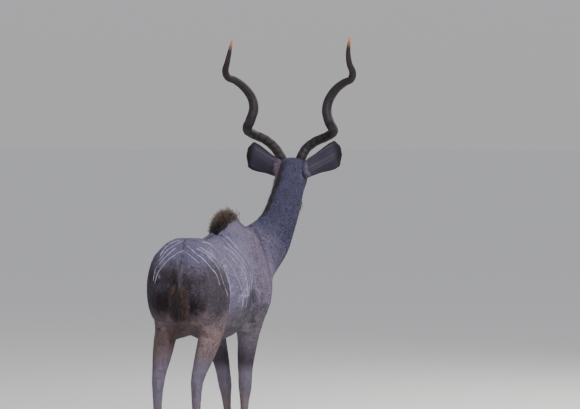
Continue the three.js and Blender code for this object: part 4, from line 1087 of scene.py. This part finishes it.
def long_locks(name, place, normal, on_map, heading, rest, length, width, colours, rings=6, dark=0.75,
               sunk=0.004):
    """Thin flat tapering locks that leave the skin along heading and bend towards rest."""
    count = len(place)
    spot = place - normal * sunk
    step = length / rings
    line = [spot]
    way = unit(heading)
    for ring in range(rings):
        share = (ring + 1) / rings
        way = unit(unit(heading) * (1 - share) + unit(rest) * share
                   + random.normal(0, 0.05, (count, 3)))
        spot = spot + way * step[:, None]
        line.append(spot)
    taper = [0.8, 1.0, 0.92, 0.76, 0.55, 0.32, 0.10][:rings] + [0.03]
    across = unit(np.cross(normal, unit(heading)) + random.normal(0, 0.25, (count, 3)))
    points = []
    for ring, spot in enumerate(line[:-1]):
        ahead = unit(line[ring + 1] - spot)
        sideways = unit(across - ahead * (across * ahead).sum(axis=1)[:, None])
        up = np.cross(sideways, ahead)
        half = (width * taper[ring] / 2)[:, None]
        points += [spot + sideways * half, spot - sideways * half, spot + up * half * 0.8]
    points.append(line[-1])
    points = np.stack(points, axis=1)
    per = points.shape[1]
    shape = []
    for ring in range(rings - 1):
        for corner in range(3):
            a, b = ring * 3 + corner, ring * 3 + (corner + 1) % 3
            shape += [[a, b, b + 3], [a, b + 3, a + 3]]
    last = (rings - 1) * 3
    shape += [[last + corner, last + (corner + 1) % 3, per - 1] for corner in range(3)]
    shape += [[0, 2, 1]]
    faces = (np.arange(count)[:, None, None] * per + np.array(shape)).reshape(-1, 3)
    run = np.r_[np.repeat(np.arange(rings) / rings, 3), 1]
    swing = np.r_[np.tile([-0.5, 0.5, 0], rings), 0]
    patch = np.stack([swing, run], axis=1) * MAP_PATCH
    spread = np.clip(on_map[:, None, :] + patch, 0.0005, 0.9995).reshape(-1, 2)
    # painted shade and light: each lock darkens towards its root and brightens towards its tip
    depth = dark + (1.12 - dark) * run
    shades = (colours[:, None, :] * depth[None, :, None]).reshape(-1, 3)
    return mesh_from(name, points.reshape(-1, 3), faces, spread, shades, np.tile(run, count))


print("hide area", round(float(face_area.sum()), 2), "square metres")

# %% [markdown]
# Hair has a lie. On the trunk it points back and down, on the legs down, on the neck down towards the chest
# and shoulder, on the face from the nose up to the poll, and on the ears out to the tips. One direction for
# all would look like a brush, so one function gives the lie at each place, with slow random turns.

# %% The lie of the coat
def lie_at(points):
    up = body_places(points)[2]
    neck, share = neck_mask(points)
    head = head_mask(points)
    ear = ear_mask(points)
    low = 1 - smooth(up, 0.72, 0.98)
    lie = np.tile([0.0, 1.0, -0.35], (len(points), 1))
    lie += low[:, None] * (np.array([0.0, 0.22, -1.0]) - lie)
    spot = np.clip((share * (NECK_POINTS - 1)).astype(int), 1, NECK_POINTS - 2)
    down_neck = neck_line[spot - 1] - neck_line[spot + 1]
    down_neck = unit(down_neck) + np.array([0, 0.35, -0.1])
    lie += neck[:, None] * (down_neck - lie)
    lie += head[:, None] * (turn @ np.array([0, 1.0, 0.05]) - lie)
    for side_sign in (1, -1):
        out = np.array(ear_axes(side_sign)[0])
        mine = ear * (head_places(points)[0] * side_sign > 0)
        lie += mine[:, None] * (out - lie)
    lie += np.stack([wander(points, 0.05, seed) for seed in (21, 22, 23)], axis=1) * 0.12
    return unit(lie)


# %% [markdown]
# A kudu's coat is short and flat, about two centimetres on the trunk and finer on the head and legs. Six
# pieces of it are made, since one mesh of all tufts would be slow to handle. The hide shows between them,
# in the same colours.

# %% Short coat
SHORT_PIECES = 6
TUFTS_EACH = 44000

bare = bare_mask(face_middle)
ear_face = ear_mask(face_middle)
head_face = head_mask(face_middle)
edge_share, tip_share, inner = ear_depth(face_middle, face_normal)
low_face = 1 - smooth(body_places(face_middle)[2], 0.62, 0.85)
density = 1 + 2.2 * head_face + 1.4 * ear_face + 1.0 * low_face
density *= (1 - bare) * (1 - 0.75 * ear_face * inner)
cut_off = smooth(body_places(face_middle)[2], 0.058, 0.066)
density *= cut_off

coat = []
for number in range(SHORT_PIECES):
    place, normal, on_map = roots_on_skin(TUFTS_EACH, density)
    lie = lie_at(place) + random.normal(0, 0.13, (TUFTS_EACH, 3))
    head = head_mask(place)
    ear = ear_mask(place)
    small = np.maximum.reduce([head, ear, 0.75 * (1 - smooth(body_places(place)[2], 0.55, 0.90))])
    size = random.uniform(0.75, 1.25, TUFTS_EACH)
    length = (0.0180 - 0.0110 * small) * size
    width = (0.0023 - 0.0010 * small) * random.uniform(0.8, 1.2, TUFTS_EACH)
    lift = (0.0022 - 0.0012 * small) * random.uniform(0.5, 1.5, TUFTS_EACH)
    shading = random.normal(1, 0.09, (TUFTS_EACH, 1)) * random.normal(1, 0.02, (TUFTS_EACH, 3))
    name = "short_coat_%d" % (number + 1)
    coat.append(short_tufts(name, place, normal, on_map, lie, length, width, lift, shading))
print("short coat", SHORT_PIECES * TUFTS_EACH, "tufts")

# %% [markdown]
# The white stripes are narrower than a finger, and the tufts of the coat are too coarse to draw them. So
# they have finer hair of their own, which lies along each stripe and is thinner in some places, as on the
# animal.

# %% White hair of the stripes
STRIPE_TUFTS = 18000
STRIPE_HALF = 0.0024

stripe_lines = [on_skin(stripe, STRIPE_POINTS) for stripe in all_stripes]
ways = np.vstack([unit(np.gradient(line, axis=0)) for line in stripe_lines])
weights = np.linalg.norm(np.gradient(stripe_points, axis=0), axis=1)
weights = np.minimum(weights, 0.02) * np.clip(0.75 + 0.5 * wander(stripe_points, 0.06, 9), 0.25, 1.2)
picked = random.choice(len(stripe_points), STRIPE_TUFTS, p=weights / weights.sum())
slide = random.uniform(-0.004, 0.004, (STRIPE_TUFTS, 1))
spots = stripe_points[picked] + ways[picked] * slide + random.normal(0, STRIPE_HALF / 2, (STRIPE_TUFTS, 3))
place, normal, on_map = roots_near(spots)
lie = unit(ways[picked] * 0.8 + lie_at(place) * 0.5 + random.normal(0, 0.10, (STRIPE_TUFTS, 3)))
length = random.uniform(0.009, 0.014, STRIPE_TUFTS)
width = random.uniform(0.0014, 0.0022, STRIPE_TUFTS)
lift = random.uniform(0.0030, 0.0042, STRIPE_TUFTS)
shading = HIDE["stripe"] * random.normal(1, 0.06, (STRIPE_TUFTS, 1))
white = short_tufts("stripe_hair", place, normal, on_map, lie, length, width, lift, shading, plain=True)
coat.append(white)
print("stripes", STRIPE_TUFTS, "tufts")

# %% [markdown]
# The long hair stands on lines of the body: a short mane along the nape, a brush over the withers, a fringe
# from the jaw down the throat, and the tail. Particle hair is no solid, and flat cards look thin from the
# side. So each lock is a thin three-sided solid that bends, and no two have the same size.

# %% Draw roots for the long hair
back_direction = np.array([0.0, 1.0, 0.0])
skin_side, skin_along, skin_up = body_places(face_middle)
face_neck_share, face_neck_away = along_line(face_middle, neck_line)
face_spot = np.clip((face_neck_share * (NECK_POINTS - 1)).astype(int), 0, NECK_POINTS - 1)
neck_here = neck_line[face_spot]
from_neck = unit(face_middle - neck_here)
neck_way = unit(np.gradient(neck_line, axis=0))
# the mane runs along the back of the neck and turns to the left lower down
nape_turn = np.interp(np.linspace(0, 1, NECK_POINTS), [0.36, 0.50, 0.75, 0.97], [52, 46, 38, 22])
nape_turn = np.radians(nape_turn)
neck_back = np.stack([np.sin(nape_turn), np.cos(nape_turn), np.full(NECK_POINTS, 0.30)], axis=1)
neck_back = unit(neck_back - neck_way * (neck_back * neck_way).sum(axis=1)[:, None])
facing_back = (from_neck * neck_back[face_spot]).sum(axis=1)
head_across, head_nose, head_lift = head_places(face_middle)


def pick(values, place):
    """Values of the nearest neck place for each root, and the share of the neck's line there."""
    share, _ = along_line(place, neck_line)
    return values[np.clip((share * (NECK_POINTS - 1)).astype(int), 0, NECK_POINTS - 1)], share


# %% [markdown]
# The mane is a narrow strip of hair as long as a thumb. It lies down along the nape, dark on one side of
# the strip and pinkish brown on the other, so each lock takes its colour from the side that it stands on.

# %% Nape mane
NAPE_LOCKS = 2400

on_nape = smooth(facing_back, 0.955, 0.98) * between(face_neck_share, 0.36, 0.97, 0.03)
on_nape = on_nape * (face_neck_away < 0.25)
place, normal, on_map = roots_on_skin(NAPE_LOCKS, on_nape)
way, share = pick(neck_way, place)
middle, _ = pick(neck_line, place)
back, _ = pick(neck_back, place)
leftward = unit(np.cross(back, way))
leftward = leftward * np.sign(leftward[:, :1])
off_line = ((place - middle) * leftward).sum(axis=1)
heading = -way * 0.85 + normal * 0.40 + leftward * 0.25 + random.normal(0, 0.12, (NAPE_LOCKS, 3))
rest = -way + normal * 0.05 + leftward * 0.20 + random.normal(0, 0.10, (NAPE_LOCKS, 3))
length = np.interp(share, [0.36, 0.6, 0.9, 1], [0.050, 0.055, 0.050, 0.035])
length = length * random.uniform(0.6, 1.15, NAPE_LOCKS)
width = random.uniform(0.0026, 0.0044, NAPE_LOCKS)
dark_line = off_line + random.normal(0, 0.006, NAPE_LOCKS) < 0.006
colours = np.where(dark_line[:, None], HIDE["back_line"] * 1.3, HIDE["nape"])
colours = colours * random.normal(1, 0.12, (NAPE_LOCKS, 1))
nape = long_locks("nape_mane", place, normal, on_map, heading, rest, length, width, colours)
print("nape", NAPE_LOCKS, "locks")

# %% [markdown]
# Over the withers the hair stands up as a brush and leans back. Its length changes along the body, so a
# short table of pairs gives it, and the locks turn from dark to rusty brown towards the neck.

# %% Withers brush
CREST_LOCKS = 3600
CREST_LENGTHS = [(0.02, 0.030), (0.10, 0.055), (0.20, 0.078), (0.30, 0.088), (0.38, 0.082), (0.45, 0.045)]

on_top = np.exp(-((skin_side + 0.010) / 0.017) ** 2) * between(skin_along, 0.07, 0.45, 0.02)
on_top = on_top * (face_normal[:, 2] > 0.3) * (skin_up > 1.34)
place, normal, on_map = roots_on_skin(CREST_LOCKS, on_top)
along = body_places(place)[1]
lean = np.interp(along, [0.04, 0.20, 0.43], [1.5, 0.9, 0.4])
heading = normal + back_direction * (lean * 0.55)[:, None] + random.normal(0, 0.13, (CREST_LOCKS, 3))
rest = normal * 0.6 + back_direction * lean[:, None] + random.normal(0, 0.12, (CREST_LOCKS, 3))
xs, ys = np.array(CREST_LENGTHS).T
length = np.interp(along, xs, ys) * random.uniform(0.45, 1.2, CREST_LOCKS)
width = random.uniform(0.0024, 0.0044, CREST_LOCKS)
rusty = random.uniform(0, 1, CREST_LOCKS) < smooth(along, 0.06, 0.26) * 0.75
colours = np.where(rusty[:, None], HIDE["crest"], HIDE["crest_dark"])
colours = colours * random.normal(1, 0.14, (CREST_LOCKS, 1))
# the brush is given deeper painted shade at its roots
crest = long_locks("withers_brush", place, normal, on_map, heading, rest, length, width, colours, dark=0.5)
print("withers", CREST_LOCKS, "locks")

# %% [markdown]
# Only bulls carry a fringe. It hangs from the chin down the front of the throat, longest halfway. The same
# kind of lock is used, with one more ring, so that it can bend from the skin to the way it hangs.

# %% Throat fringe and beard
FRINGE_LOCKS = 2200
THROAT_SIDE = np.array([-0.10, -0.95, -0.30])  # from the neck's line towards its front

throat_way = unit(THROAT_SIDE - neck_way * (neck_way @ THROAT_SIDE)[:, None])
to_throat = (from_neck * throat_way[face_spot]).sum(axis=1)
on_throat = smooth(to_throat, 0.955, 0.985) * between(face_neck_share, 0.42, 0.90, 0.03)
on_throat = on_throat * (face_neck_away < 0.25)
on_jaw = np.exp(-(head_across / 0.010) ** 2) * between(head_nose, 0.08, 0.345, 0.01) * (head_lift < -0.05)
on_jaw = on_jaw * (face_normal @ (turn @ np.array([0, 0, -1.0])) > 0.3)
place, normal, on_map = roots_on_skin(FRINGE_LOCKS, np.maximum(on_throat, on_jaw))
across, to_nose, _ = head_places(place)
jaw = (to_nose > 0.07) & (np.abs(across) < 0.04)
way, share = pick(neck_way, place)
down = np.array([0.0, 0.0, -1.0])
heading = normal * 0.8 - way * 0.5 + down * 0.4 + random.normal(0, 0.12, (FRINGE_LOCKS, 3))
rest = down * 0.7 - way * 0.5 + normal * 0.15 + random.normal(0, 0.08, (FRINGE_LOCKS, 3))
length = np.interp(share, [0.42, 0.58, 0.78, 0.90], [0.075, 0.130, 0.165, 0.115])
length = np.where(jaw, np.interp(to_nose, [0.08, 0.25, 0.345], [0.095, 0.070, 0.030]), length)
length = length * random.uniform(0.55, 1.1, FRINGE_LOCKS)
width = random.uniform(0.0035, 0.0060, FRINGE_LOCKS)
pale = random.uniform(0, 1, FRINGE_LOCKS) < 0.25
colours = np.where(pale[:, None], HIDE["pale"], HIDE["beard"]) * random.normal(1, 0.12, (FRINGE_LOCKS, 1))
fringe = long_locks("throat_fringe", place, normal, on_map, heading, rest, length, width, colours, rings=7)
print("fringe", FRINGE_LOCKS, "locks")

# %% [markdown]
# The tail's hair grows from the dock, spreads to both sides and hangs down. It is dark along the middle and
# at its right edge, and rusty between, so the place of each root beside the middle line decides its colour.

# %% Tail
TAIL_LOCKS = 3400
TAIL_MIDDLE = -0.060  # how far the middle line of the tail lies to the side

on_dock = (1 - smooth(along_line(face_middle, tail_line)[1], 0.034, 0.04)) * (skin_along < -0.67)
on_dock = on_dock * (skin_up > 0.96) * (1 - smooth(skin_up, 1.13, 1.17))
place, normal, on_map = roots_on_skin(TAIL_LOCKS, on_dock)
tail_spot = along_line(place, tail_line)[0] * (TAIL_POINTS - 1)
tail_way = unit(np.gradient(tail_line, axis=0))[np.clip(tail_spot.astype(int), 0, TAIL_POINTS - 1)]
sideways = normal * np.array([1.7, 0.45, 0.2])
heading = tail_way * 0.8 + sideways * 0.75 + random.normal(0, 0.07, (TAIL_LOCKS, 3))
rest = np.array([0, 0.02, -1.0]) + sideways * 0.20 + random.normal(0, 0.05, (TAIL_LOCKS, 3))
length = random.uniform(0.045, 0.105, TAIL_LOCKS)
length = np.minimum(length, (place[:, 2] - 0.935) * random.uniform(0.75, 1.15, TAIL_LOCKS))
width = random.uniform(0.0030, 0.0050, TAIL_LOCKS)
off_middle = body_places(place)[0] - TAIL_MIDDLE + random.normal(0, 0.004, TAIL_LOCKS)
colours = np.tile(HIDE["tail"], (TAIL_LOCKS, 1))
colours[np.abs(off_middle - 0.004) < 0.010] = HIDE["tail_dark"]
colours[off_middle < -0.014] = HIDE["tail_rust"]
colours[off_middle < -0.026] = HIDE["tail_edge"]
colours *= random.normal(1, 0.14, (TAIL_LOCKS, 1))
tail_hair = long_locks("tail_hair_locks", place, normal, on_map, heading, rest, length, width, colours)
print("tail", TAIL_LOCKS, "locks")

# %% [markdown]
# Long white hair lines the inside of the ears, most of it near the edges. Its roots hardly sink in, because
# the wall of an ear is only a few millimetres thick and deeper roots would come out on its back.

# %% Hair in the ears
EAR_LOCKS = 2200

facing = [np.array(ear_axes(side)[1]) for side in (1, -1)]
open_side = np.where((head_across > 0)[:, None], facing[0], facing[1])
in_ear = ear_face * inner * (edge_share < 0.84) * between(tip_share, 0.27, 0.80, 0.04)
in_ear = in_ear * ((face_normal * open_side).sum(axis=1) > 0.1) * (0.25 + smooth(edge_share, 0.45, 0.85))
place, normal, on_map = roots_on_skin(EAR_LOCKS, in_ear)
across = head_places(place)[0]
out_left, out_right = (np.array(ear_axes(side)[0]) for side in (1, -1))
out = np.where((across > 0)[:, None], out_left, out_right)
heading = normal * 0.7 + out * 0.6 + random.normal(0, 0.15, (EAR_LOCKS, 3))
rest = out + normal * 0.15 + random.normal(0, 0.15, (EAR_LOCKS, 3))
length = random.uniform(0.014, 0.032, EAR_LOCKS)
width = random.uniform(0.0012, 0.0022, EAR_LOCKS)
colours = np.tile(HIDE["white"], (EAR_LOCKS, 1)) * random.normal(0.95, 0.1, (EAR_LOCKS, 1))
ear_hair = long_locks("ear_hair", place, normal, on_map, heading, rest, length, width, colours, rings=4,
                      sunk=0.0005)
print("ears", EAR_LOCKS, "locks")

# %% [markdown]
# Hair is rough and a little silky: it brightens at grazing angles, which the sheen gives. Images could
# carry the streaks, but nodes stay sharp at any size. One node group mixes fine streaks into any colour,
# and each material keeps its own shader. Noses, eyes and hooves are smoother.

# %% Materials
BUMP_DISTANCE = 0.001


def new_material(name, roughness, **sockets):
    material = bpy.data.materials.new(name)
    material.use_nodes = True
    shader = material.node_tree.nodes["Principled BSDF"]
    shader.inputs["Roughness"].default_value = roughness
    for socket, value in sockets.items():
        shader.inputs[socket.replace("_", " ")].default_value = value
    return material, material.node_tree.nodes, material.node_tree.links, shader


streaks = bpy.data.node_groups.new("coat_streaks", "ShaderNodeTree")
streaks.interface.new_socket("Color", in_out="INPUT", socket_type="NodeSocketColor")
streaks.interface.new_socket("Scale", in_out="INPUT", socket_type="NodeSocketFloat")
streaks.interface.new_socket("Color", in_out="OUTPUT", socket_type="NodeSocketColor")
streaks.interface.new_socket("Height", in_out="OUTPUT", socket_type="NodeSocketFloat")
group_in = streaks.nodes.new("NodeGroupInput")
group_out = streaks.nodes.new("NodeGroupOutput")
position = streaks.nodes.new("ShaderNodeTexCoord")
grain = streaks.nodes.new("ShaderNodeTexNoise")
ramp = streaks.nodes.new("ShaderNodeMapRange")
darken = streaks.nodes.new("ShaderNodeMix")
darken.data_type = "RGBA"
darken.blend_type = "MULTIPLY"
grain.inputs["Detail"].default_value = 4
darken.inputs["Factor"].default_value = 1
ramp.inputs["From Min"].default_value = 0.3
ramp.inputs["From Max"].default_value = 0.7
ramp.inputs["To Min"].default_value = 0.78
ramp.inputs["To Max"].default_value = 1.15
streaks.links.new(position.outputs["Object"], grain.inputs["Vector"])
streaks.links.new(group_in.outputs["Scale"], grain.inputs["Scale"])
streaks.links.new(grain.outputs["Fac"], ramp.inputs["Value"])
streaks.links.new(group_in.outputs["Color"], darken.inputs["A"])
streaks.links.new(ramp.outputs["Result"], darken.inputs["B"])
streaks.links.new(darken.outputs["Result"], group_out.inputs["Color"])
streaks.links.new(grain.outputs["Fac"], group_out.inputs["Height"])


def value_of(made, name):
    node = made.new("ShaderNodeAttribute")
    node.attribute_name = name
    return node


def streak(made, links, shader, scale, colour=None, bump=None):
    """Send a colour through the streaks to the shader, and their height to a bump."""
    group = made.new("ShaderNodeGroup")
    group.node_tree = streaks
    group.inputs["Scale"].default_value = scale
    links.new(group.outputs["Color"], shader.inputs["Base Color"])
    if colour is not None:
        links.new(colour, group.inputs["Color"])
    if bump is not None:
        relief = made.new("ShaderNodeBump")
        relief.inputs["Strength"].default_value = bump
        relief.inputs["Distance"].default_value = BUMP_DISTANCE
        links.new(group.outputs["Height"], relief.inputs["Height"])
        links.new(relief.outputs["Normal"], shader.inputs["Normal"])
    return group


def tinted(name, roughness, scale, bump, **sockets):
    material, made, links, shader = new_material(name, roughness, **sockets)
    streak(made, links, shader, scale, value_of(made, "tint").outputs["Color"], bump)
    return material, made, links, shader


skin_finish, made, links, shader = tinted("hide", 0.85, 260, 0.5, Specular_IOR_Level=0.25)
wet = made.new("ShaderNodeMapRange")
wet.inputs["To Min"].default_value = 0.82
wet.inputs["To Max"].default_value = 0.38
links.new(value_of(made, "bare").outputs["Fac"], wet.inputs["Value"])
links.new(wet.outputs["Result"], shader.inputs["Roughness"])
coat_finish = tinted("short_hair", 0.75, 24, 0.0, Specular_IOR_Level=0.3, Sheen_Weight=0.05)[0]
lock_finish = tinted("long_hair", 0.65, 40, 0.0, Specular_IOR_Level=0.35, Sheen_Weight=0.05)[0]

eye_finish, made, links, shader = new_material("eye_dark", 0.12, Coat_Weight=1.0, Coat_Roughness=0.02)
iris = made.new("ShaderNodeValToRGB")
iris.color_ramp.elements[0].position = 0.62
iris.color_ramp.elements[0].color = (0.010, 0.007, 0.006, 1)
iris.color_ramp.elements[1].position = 0.80
iris.color_ramp.elements[1].color = (0.060, 0.028, 0.014, 1)
links.new(value_of(made, "front").outputs["Fac"], iris.inputs["Fac"])
links.new(iris.outputs["Color"], shader.inputs["Base Color"])

horn_finish, made, links, shader = new_material("horn_sheath", 0.58, Specular_IOR_Level=0.22)
stages = made.new("ShaderNodeValToRGB")
stages.color_ramp.elements[0].color = (*srgb(44, 37, 40), 1)
stages.color_ramp.elements[1].position = 0.985
stages.color_ramp.elements[1].color = (*srgb(172, 112, 74), 1)
middle = stages.color_ramp.elements.new(0.55)
middle.color = (*srgb(34, 29, 34), 1)
late = stages.color_ramp.elements.new(0.93)
late.color = (*srgb(40, 32, 33), 1)
links.new(value_of(made, "grown").outputs["Fac"], stages.inputs["Fac"])
# painted shade: the horn darkens to near black in the grooves between its ridges
groove_shade = made.new("ShaderNodeMix")
groove_shade.data_type = "RGBA"
groove_shade.inputs["B"].default_value = (*srgb(16, 13, 15), 1)
links.new(value_of(made, "cavity").outputs["Fac"], groove_shade.inputs["Factor"])
links.new(stages.outputs["Color"], groove_shade.inputs["A"])
streak(made, links, shader, 90, groove_shade.outputs["Result"], 0.4)

hoof_finish, made, links, shader = new_material("hoof_black", 0.45)
group = streak(made, links, shader, 120)
group.inputs["Color"].default_value = (*srgb(44, 38, 40), 1)

skin.data.materials.append(skin_finish)
for piece in coat:
    piece.data.materials.append(coat_finish)
long_hair = [nape, crest, fringe, tail_hair, ear_hair]
for piece in long_hair:
    piece.data.materials.append(lock_finish)
for piece in eyes:
    piece.data.materials.append(eye_finish)
for piece in horns:
    piece.data.materials.append(horn_finish)
for piece in hooves:
    piece.data.materials.append(hoof_finish)
print("materials", len(bpy.data.materials))

# %% [markdown]
# Each piece now rides on the root, since the model is still, and the imported nodes that it stands for
# are hidden.

# %% Tie the pieces to the imported model
flesh_and_ears = FLESH + ["ear_left", "ear_right"]
for piece in [skin] + coat:
    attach(piece, "root")
    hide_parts(*flesh_and_ears)
for piece, where, slot in ((nape, ["neck"], "neck_coat"), (crest, ["torso"], "body_coat"),
                           (fringe, ["neck", "head"], "neck_coat"), (tail_hair, ["tail"], "tail_hair"),
                           (ear_hair, ["ear_left", "ear_right"], "ear_coat")):
    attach(piece, "root")
    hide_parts(*where)
for piece, side in zip(eyes, ("left", "right")):
    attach(piece, "root")
    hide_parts("eye_" + side)
for piece, side in zip(horns, ("left", "right")):
    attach(piece, "root")
    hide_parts("horn_" + side)
for piece, name in zip(hooves, HOOVES):
    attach(piece, "root")
    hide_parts(name)
total = sum(triangles_in(piece) for piece in [skin] + coat + long_hair + eyes + horns + hooves)
print("triangles in all", total)

# %% [markdown]
# The camera stands where the photographer stood, far off with a long lens, behind the bull and to its
# right. A pale floor and broad soft lights keep the studio plain.

# %% Camera, floor and light
CAMERA_AZIMUTH = radians(197.1)
CAMERA_RISE = radians(1.69)
CAMERA_AWAY = 16.56
PIXELS_PER_METRE = 163
PICTURE_WIDTH = 580
SENSOR_WIDTH = 36
AIM_RIGHT = 60  # pixels from the target to the middle of the picture
AIM_UP = 14.5
LIGHTS_AIM = Vector((0, 0, 1.2))

bpy.ops.mesh.primitive_plane_add(size=400, location=(0, 0, 0))
floor = bpy.context.object
floor.name = "studio_floor"
floor_finish = new_material("studio_pale", 0.9)[0]
floor_finish.node_tree.nodes["Principled BSDF"].inputs["Base Color"].default_value = (0.835, 0.81, 0.76, 1)
floor.data.materials.append(floor_finish)

target = at(0, 0.386, 1.508)
away = Vector((math.sin(CAMERA_AZIMUTH) * math.cos(CAMERA_RISE),
               -math.cos(CAMERA_AZIMUTH) * math.cos(CAMERA_RISE), math.sin(CAMERA_RISE)))
rightward = Vector((math.cos(CAMERA_AZIMUTH), math.sin(CAMERA_AZIMUTH), 0))
upward = rightward.cross(-away)
aim = target + rightward * (AIM_RIGHT / PIXELS_PER_METRE) + upward * (AIM_UP / PIXELS_PER_METRE)
bpy.ops.object.camera_add(location=aim + away * CAMERA_AWAY)
camera = bpy.context.object
camera.rotation_euler = (-away).to_track_quat("-Z", "Y").to_euler()
camera.data.sensor_width = SENSOR_WIDTH
camera.data.lens = SENSOR_WIDTH * PIXELS_PER_METRE * CAMERA_AWAY / PICTURE_WIDTH
bpy.context.scene.camera = camera

world = bpy.context.scene.world or bpy.data.worlds.new("studio")
bpy.context.scene.world = world
world.use_nodes = True
made = world.node_tree.nodes
links = world.node_tree.links
backdrop = made["Background"]
direction = made.new("ShaderNodeTexCoord")
parts = made.new("ShaderNodeSeparateXYZ")
sky = made.new("ShaderNodeValToRGB")
sky.color_ramp.elements[0].position = 0.0
sky.color_ramp.elements[0].color = (0.46, 0.46, 0.47, 1)
sky.color_ramp.elements[1].position = 0.6
sky.color_ramp.elements[1].color = (0.52, 0.54, 0.60, 1)
links.new(direction.outputs["Generated"], parts.inputs["Vector"])
links.new(parts.outputs["Z"], sky.inputs["Fac"])
links.new(sky.outputs["Color"], backdrop.inputs["Color"])
LIGHTS = [  # place, size, power
    ((-3.4, 3.0, 4.9), 3.0, 430), ((4.4, 3.4, 3.2), 3.5, 70), ((-2.6, -4.8, 4.6), 3.5, 230),
]
for place, size, power in LIGHTS:
    bpy.ops.object.light_add(type="AREA", location=place)
    light = bpy.context.object
    light.data.shape = "DISK"
    light.data.size = size
    light.data.energy = power
    light.rotation_euler = (LIGHTS_AIM - Vector(place)).to_track_quat("-Z", "Y").to_euler()
print("camera", [round(x, 2) for x in camera.location], "lens", round(camera.data.lens, 1))
